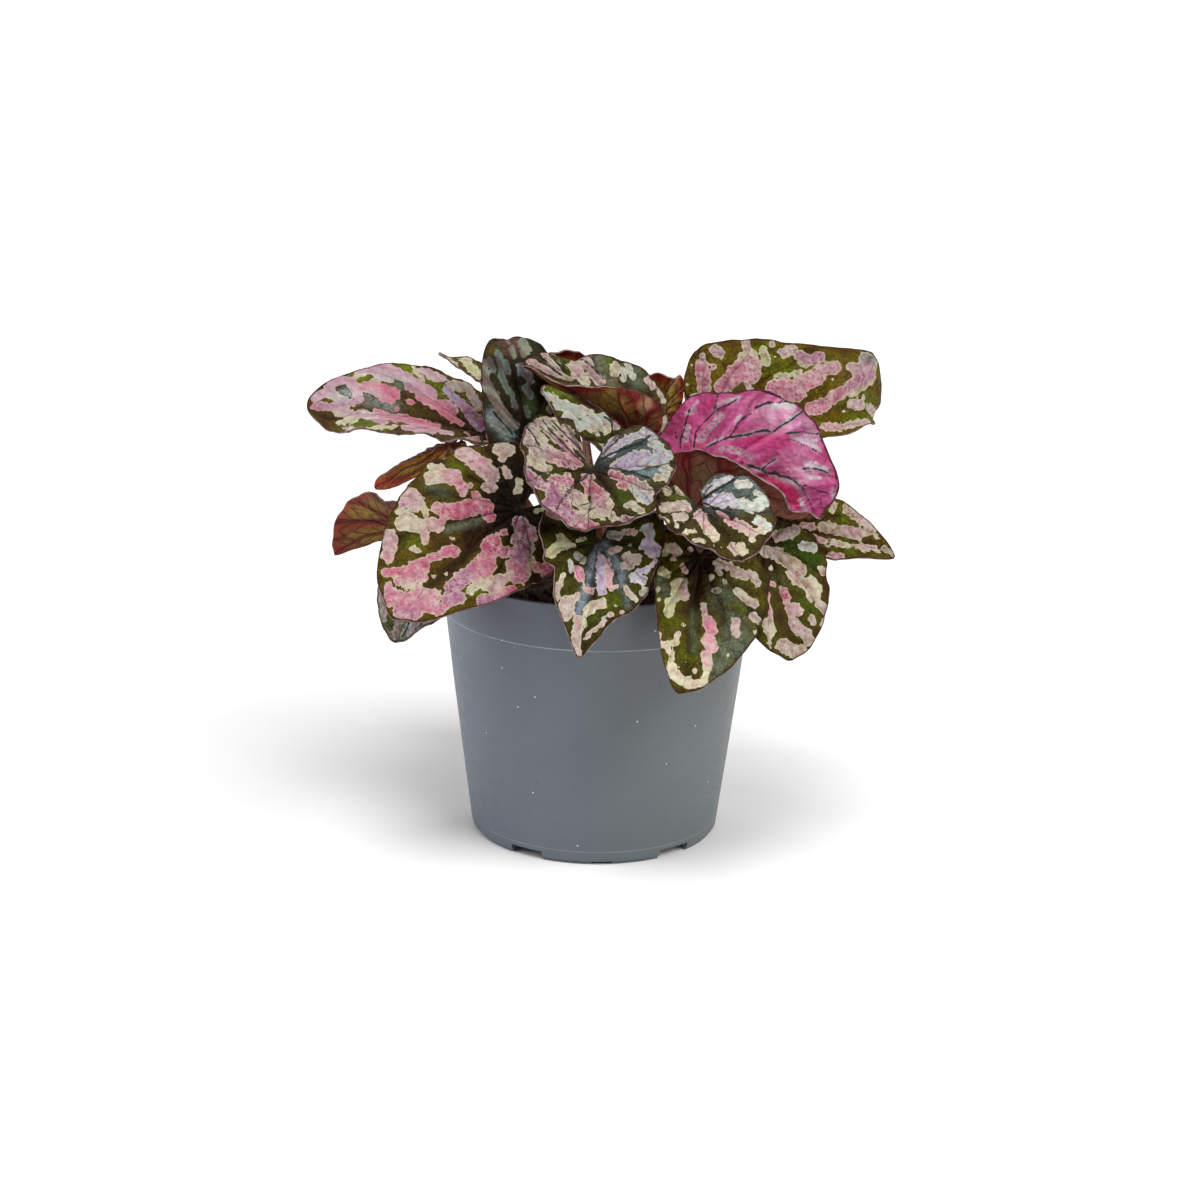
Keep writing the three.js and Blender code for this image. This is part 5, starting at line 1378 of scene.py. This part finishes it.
def make_blade(leaf, index, skins):
    """A grid laid out from the stalk to the margin and round the leaf, shaped, veined, painted, thickened."""
    rng = np.random.default_rng(100 + index)
    grain = leaf["fine"] * (BACK_GRAIN if leaf["name"].startswith("leaf_back_") else FRONT_GRAIN)
    outline = np.stack(blade_outline(leaf, np.linspace(-1, 1, 400)), axis=1)
    perimeter = np.linalg.norm(np.diff(outline, axis=0), axis=1).sum()
    spokes = int(perimeter / grain)
    rings = int(np.linalg.norm(outline, axis=1).mean() / grain) + 4
    bpy.ops.mesh.primitive_grid_add(x_subdivisions=rings, y_subdivisions=spokes, size=2, calc_uvs=False)
    piece = last_piece(leaf["name"] + "_blade")
    mesh = piece.data
    grid = get_vertices(mesh)
    blade = Blade(leaf, (grid[:, 0] + 1) / 2, grid[:, 1], rng)
    middle = placed(leaf, blade.s, blade.t)
    normals = blade_normals(leaf, blade.s, blade.t)
    points = middle + normals * blade.relief(rng)[:, None]
    to_eye = camera_axes()[0] - points
    facing = (to_eye * normals).sum(1) / np.linalg.norm(to_eye, axis=1)
    inside, ink, color, ground, under, vein_strength = paint(blade, points, facing, rng)
    set_vertices(mesh, points)

    ones = np.ones((len(grid), 1))
    set_attribute(mesh, "patch", "FLOAT", inside)
    set_attribute(mesh, "ink", "FLOAT", ink)
    set_attribute(mesh, "margin", "FLOAT", blade.margin)
    set_attribute(mesh, "gap", "FLOAT", ones * blade.gap)
    set_attribute(mesh, "veins", "FLOAT_VECTOR", np.stack([blade.sector, blade.span, blade.branch], axis=1))
    set_attribute(mesh, "patch_color", "FLOAT_COLOR", color)
    set_attribute(mesh, "ground_color", "FLOAT_COLOR", np.hstack([ground, ones * vein_strength]))
    set_attribute(mesh, "under_color", "FLOAT_COLOR", np.hstack([under, ones]))
    corner = np.zeros(len(mesh.loops), dtype=np.int32)
    mesh.loops.foreach_get("vertex_index", corner)
    flat = np.stack([blade.s, blade.t], axis=1) / 100 + 3.7 * index
    mesh.uv_layers.new(name="flat_leaf").data.foreach_set("uv", flat[corner].astype(np.float32).ravel())
    edit(lambda: bpy.ops.mesh.remove_doubles(threshold=1e-6))
    for skin in skins:
        mesh.materials.append(skin)
    apply_modifier(piece, "SOLIDIFY", thickness=BLADE_THICKNESS * MM, offset=0, use_rim=True,
                   material_offset=1, material_offset_rim=2)
    bpy.ops.object.shade_smooth_by_angle(angle=math.radians(60))
    return piece


def stalk_line(leaf):
    """The stalk's centre line in mm, as the four points of its curve."""
    along, _, normal = blade_directions(leaf)
    arrival = along * math.cos(STALK_JOIN) + normal * math.sin(STALK_JOIN)
    end = np.array(leaf["at"], float)
    foot = np.array([*leaf["foot"], SOIL_EDGE], float)
    span = np.linalg.norm(end - foot)
    tilt = np.array([STALK_FAN * leaf["foot"][0], STALK_FAN * leaf["foot"][1], 1])
    tilt /= np.linalg.norm(tilt)
    rising = foot + tilt * STALK_RISE * span
    reaching = end - arrival * STALK_REACH * span
    return foot - tilt * STALK_DEPTH, rising, reaching, end - arrival * STALK_TUCK


def make_stalk(leaf, skin):
    """A round tapered bar swept along its curve."""
    start, first, last, end = (p * MM for p in stalk_line(leaf))
    bpy.ops.curve.primitive_bezier_curve_add(radius=1)
    curve = last_piece(leaf["name"] + "_stalk").data
    low, high = curve.splines[0].bezier_points
    for point in (low, high):
        point.handle_left_type = point.handle_right_type = "FREE"
    low.co, low.handle_right, low.handle_left = start, first, 2 * Vector(start) - Vector(first)
    high.co, high.handle_left, high.handle_right = end, last, 2 * Vector(end) - Vector(last)
    low.radius, high.radius = STALK_FOOT_RADIUS, STALK_TOP_RADIUS
    curve.bevel_depth = MM
    curve.bevel_resolution = 4
    curve.resolution_u = 40
    curve.use_fill_caps = True
    bpy.ops.object.convert(target="MESH")
    piece = bpy.context.active_object
    piece.location = (0, 0, 0)
    edit(
        lambda: bpy.ops.mesh.remove_doubles(threshold=1e-6),
        lambda: bpy.ops.mesh.normals_make_consistent(inside=False),
    )
    bpy.ops.object.shade_smooth_by_angle(angle=math.radians(50))
    piece.data.materials.clear()
    piece.data.materials.append(skin)
    return piece


def make_hairs(leaf, index, skin):
    """One tapered hair, a cone, and its copies round the stalk above the soil, each leaning its own way."""
    rng = np.random.default_rng(500 + index)
    p0, p1, p2, p3 = stalk_line(leaf)
    count = int(HAIRS_PER_MM * np.linalg.norm(p3 - p0))
    u = rng.uniform(0.2, 0.97, count)[:, None]
    centre = (1 - u) ** 3 * p0 + 3 * (1 - u) ** 2 * u * p1 + 3 * (1 - u) * u ** 2 * p2 + u ** 3 * p3
    tangent = 3 * (1 - u) ** 2 * (p1 - p0) + 6 * (1 - u) * u * (p2 - p1) + 3 * u ** 2 * (p3 - p2)
    tangent /= np.linalg.norm(tangent, axis=1, keepdims=True)
    out = np.cross(tangent, rng.normal(size=(count, 3)))
    out /= np.linalg.norm(out, axis=1, keepdims=True)
    radius = STALK_FOOT_RADIUS + (STALK_TOP_RADIUS - STALK_FOOT_RADIUS) * u
    root = centre + out * (radius - HAIR_ROOT)
    aim = out + 0.35 * rng.normal(size=(count, 3))
    aim /= np.linalg.norm(aim, axis=1, keepdims=True)
    rise = aim * (HAIR_ROOT + rng.uniform(*HAIR_LENGTH, (count, 1)))
    side = np.cross(tangent, out)
    bpy.ops.mesh.primitive_cone_add(vertices=3, radius1=1, radius2=0, depth=1, calc_uvs=False)
    piece = last_piece(leaf["name"] + "_hairs")
    beside, along, up = get_vertices(piece.data).T[:, None, :, None]
    apply_modifier(piece, "ARRAY", count=count, use_relative_offset=False)
    girth = HAIR_RADIUS * (along * tangent[:, None] + beside * side[:, None])
    points = root[:, None] + girth + (up + 0.5) * rise[:, None]
    set_vertices(piece.data, points.reshape(-1, 3))
    edit(lambda: bpy.ops.mesh.normals_make_consistent(inside=False))
    piece.data.materials.append(skin)
    return piece


def wall_radius(height):
    return FOOT_RADIUS + (RIM_RADIUS - FOOT_RADIUS) * height / POT_HEIGHT


def raise_wall(profile, sides, name):
    """A ring drawn through a profile's radii and heights, as on a wheel, and closed at both ends."""
    (radius, height), *rest = profile
    bpy.ops.mesh.primitive_circle_add(vertices=sides, radius=radius * MM, fill_type="NOTHING")
    piece = last_piece(name)
    bpy.ops.object.mode_set(mode="EDIT")
    bpy.ops.mesh.select_all(action="SELECT")
    bpy.ops.transform.translate(value=(0, 0, height * MM))
    bpy.ops.mesh.edge_face_add()
    bpy.ops.mesh.select_all(action="SELECT")
    for next_radius, next_height in rest:
        rise = (next_height - height) * MM
        bpy.ops.mesh.extrude_region_move(TRANSFORM_OT_translate={"value": (0, 0, rise)})
        scale = next_radius / radius
        bpy.ops.transform.resize(value=(scale, scale, 1), center_override=(0, 0, next_height * MM))
        radius, height = next_radius, next_height
    bpy.ops.mesh.select_all(action="SELECT")
    bpy.ops.mesh.normals_make_consistent(inside=False)
    bpy.ops.object.mode_set(mode="OBJECT")
    return piece


def cut_away(piece, cutter):
    apply_modifier(piece, "BOOLEAN", operation="DIFFERENCE", object=cutter, solver="EXACT")
    bpy.data.objects.remove(cutter)
    bpy.ops.object.select_all(action="DESELECT")
    piece.select_set(True)
    bpy.context.view_layer.objects.active = piece


def cut_foot(pot, width, height, turn):
    """A slot through the foot's wall, turn degrees from the front."""
    bpy.ops.mesh.primitive_cube_add(size=1, scale=(width * MM, 20 * MM, (height + 2) * MM))
    cutter = last_piece("foot_cutter")
    out = FOOT_RADIUS - FOOT_RING + 1
    shift = Matrix.Translation((0, -out * MM, (height / 2 - 1) * MM))
    cutter.data.transform(Matrix.Rotation(math.radians(turn), 4, "Z") @ shift @ cutter.matrix_basis)
    cutter.matrix_basis = Matrix.Identity(4)
    cut_away(pot, cutter)


def make_pot(plastic):
    """The tapered wall with its rim band and the thin bead under it, whose bright line is a painted highlight
    in the material, the raised floor, foot slots and drains.
    """
    ring_inside = FOOT_RADIUS - FOOT_RING
    ring_outside = FOOT_RADIUS - FOOT_INSET
    wall_foot = wall_radius(FOOT_HEIGHT)
    band = wall_radius(BAND_BOTTOM)
    lip_inside = RIM_RADIUS - WALL
    profile = [
        (1.0, FLOOR_BOTTOM),
        (ring_inside, FLOOR_BOTTOM),
        (ring_inside, 0.15),
        (ring_inside + 0.15, 0),
        (ring_outside - 0.15, 0),
        (ring_outside, 0.15),
        (ring_outside, FOOT_HEIGHT),
        (wall_foot - 0.45, FOOT_HEIGHT),
        (wall_foot - 0.12, FOOT_HEIGHT + 0.12),
        (wall_foot, FOOT_HEIGHT + 0.45),
        (wall_radius(30), 30),
        (wall_radius(60), 60),
        (band - 0.34, BAND_BOTTOM - 0.45),
        (band - 0.3, BAND_BOTTOM - 0.15),
        (band + 0.02, BAND_BOTTOM),
        (band + 0.06, BAND_BOTTOM + 0.2),
        (band + 0.02, BAND_BOTTOM + 0.5),
        (RIM_RADIUS - 0.06, POT_HEIGHT - 0.5),
        (RIM_RADIUS - 0.18, POT_HEIGHT - 0.15),
        (RIM_RADIUS - 0.45, POT_HEIGHT),
        (lip_inside + 0.3, POT_HEIGHT),
        (lip_inside + 0.08, POT_HEIGHT - 0.12),
        (lip_inside - 0.02, POT_HEIGHT - 0.4),
        (band - WALL - BAND_STEP, BAND_BOTTOM),
        (wall_radius(FLOOR_TOP) - WALL, FLOOR_TOP),
        (1.0, FLOOR_TOP),
    ]
    pot = raise_wall(profile, POT_SIDES, "nursery_pot")
    for i in range(FEET):
        cut_foot(pot, NOTCH_WIDTH, NOTCH_HEIGHT, NOTCH_TURN + 360 * i / FEET)
        cut_foot(pot, FOOT_GAP, FOOT_HEIGHT, NOTCH_TURN + 360 * (i + 0.5) / FEET)
        angle = math.radians(NOTCH_TURN + 360 * i / FEET)
        x, y = DRAIN_CIRCLE * math.sin(angle), -DRAIN_CIRCLE * math.cos(angle)
        bpy.ops.mesh.primitive_cylinder_add(
            vertices=32, radius=DRAIN_RADIUS * MM, depth=2 * FLOOR_TOP * MM,
            location=(x * MM, y * MM, FLOOR_BOTTOM * MM),
        )
        cut_away(pot, last_piece("drain_cutter"))
    bpy.ops.object.shade_smooth_by_angle(angle=math.radians(32))
    pot.data.materials.append(plastic)
    return pot


def soil_height(x, y):
    """The peat's level in mm: a low crown, with lumps and crumbs."""
    share = np.hypot(x, y) / wall_radius(SOIL_EDGE)
    level = SOIL_CROWN + (SOIL_EDGE - SOIL_CROWN) * share ** 2
    rng = np.random.default_rng(7)
    lumps = LUMP_HEIGHT * ripple(x, y, LUMP_SIZE, rng)
    return level + lumps + GRIT_HEIGHT * ripple(x, y, GRIT_SIZE, rng) - SOIL_SETTLED


def make_soil(peat):
    """The peat: a plug that fills the pot, its top roughened."""
    edge = wall_radius(SOIL_EDGE) - WALL - BAND_STEP - SOIL_GAP
    bottom = FLOOR_TOP + 0.3
    profile = [(1.0, bottom), (wall_radius(bottom) - WALL - BAND_STEP - SOIL_GAP, bottom)]
    profile += [(edge - (edge - 0.6) * i / SOIL_RINGS, SOIL_EDGE) for i in range(SOIL_RINGS + 1)]
    soil = raise_wall(profile, SOIL_SIDES, "peat_plug")
    points = get_vertices(soil.data) / MM
    top = points[:, 2] > SOIL_EDGE - 0.5
    points[top, 2] = soil_height(points[top, 0], points[top, 1])
    set_vertices(soil.data, points)
    bpy.ops.object.shade_smooth()
    soil.data.materials.append(peat)
    return soil


def make_crumbs(peat):
    """One loose lump of peat, a ball, and its copies on the surface, each dented and of its own size."""
    rng = np.random.default_rng(3)
    bpy.ops.mesh.primitive_ico_sphere_add(subdivisions=1, radius=1, calc_uvs=False)
    piece = last_piece("peat_crumbs")
    ball = get_vertices(piece.data)
    apply_modifier(piece, "ARRAY", count=CRUMBS, use_relative_offset=False)
    crumbs = []
    for _ in range(CRUMBS):
        reach = (wall_radius(SOIL_EDGE) - 5) * math.sqrt(rng.random())
        turn = rng.uniform(0, 2 * np.pi)
        x, y = reach * math.cos(turn), reach * math.sin(turn)
        size = rng.uniform(*CRUMB_RADIUS) * (1 + 0.7 * (rng.random() < 0.1))
        dents = 1 + CRUMB_DENTS * rng.normal(size=(len(ball), 1))
        shape = ball * dents * size * rng.uniform(0.6, 1.25, 3)
        height = soil_height(np.array([x]), np.array([y]))[0] + 0.25 * size
        crumbs.append(shape + [x, y, height])
    set_vertices(piece.data, np.vstack(crumbs))
    piece.data.materials.append(peat)
    return piece


def dress(piece, node):
    """The piece stands in for that part's solid, which is hidden, and hangs from the root body."""
    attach(piece, "root")
    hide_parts(node)
    bpy.ops.object.select_all(action="DESELECT")


# --------------------------------------------------------------------------------------------------------
# The plant
# --------------------------------------------------------------------------------------------------------
blade_skins = [begonia_upper_skin(), begonia_underside(), begonia_cut_edge()]
stalk_skin, hair_skin = begonia_stalk(), begonia_hair()
for number, row in enumerate(LEAVES):
    whole = {**LEAF_DEFAULTS, **row}
    dress(make_blade(whole, number, blade_skins), whole["name"])
    dress(make_stalk(whole, stalk_skin), whole["name"])
    dress(make_hairs(whole, number, hair_skin), whole["name"])

plastic_skin, peat_skin = pot_polypropylene(), potting_peat()
dress(make_pot(plastic_skin), "pot")
dress(make_soil(peat_skin), "soil")
dress(make_crumbs(peat_skin), "soil")

# --------------------------------------------------------------------------------------------------------
# The studio
# --------------------------------------------------------------------------------------------------------
bpy.ops.mesh.primitive_plane_add(size=40)
floor = last_piece("studio_floor")
floor.data.materials.append(studio_white())

world = bpy.data.worlds.new("studio_light")
bpy.context.scene.world = world
world.use_nodes = True
world.node_tree.nodes["Background"].inputs[0].default_value = (1, 1, 1, 1)
world.node_tree.nodes["Background"].inputs[1].default_value = 0.12


def sun(name, azimuth, elevation, strength, spread):
    """A broad studio light that comes from azimuth degrees to the right of the camera."""
    bpy.ops.object.light_add(type="SUN")
    light = last_piece(name)
    light.data.energy = strength
    light.data.angle = math.radians(spread)
    a, e = math.radians(azimuth), math.radians(elevation)
    source = Vector((math.sin(a) * math.cos(e), -math.cos(a) * math.cos(e), math.sin(e)))
    light.rotation_euler = source.to_track_quat("Z", "Y").to_euler()


sun("key_light", 44, 43, 1.45, 34)
sun("front_light", 0, 71, 1.5, 28)
sun("left_light", -78, 34, 0.9, 45)
sun("right_light", 76, 33, 0.62, 40)
sun("low_left_light", -92, 14, 0.5, 30)
sun("low_right_light", 90, 14, 0.45, 30)
sun("back_light", 190, 42, 0.65, 45)

eye, right, up, forward = camera_axes()
bpy.ops.object.camera_add()
camera = last_piece("photo_camera")
camera.data.sensor_width = SENSOR
camera.data.lens = FOCAL_PIXELS / PHOTO_SIDE * SENSOR
camera.data.clip_start, camera.data.clip_end = 0.01, 100
place = Matrix([[*row] for row in np.column_stack([right, up, -forward])]).to_4x4()
place.translation = Vector(eye) * MM
camera.matrix_world = place
bpy.context.scene.camera = camera
bpy.context.scene.view_settings.view_transform = "Standard"
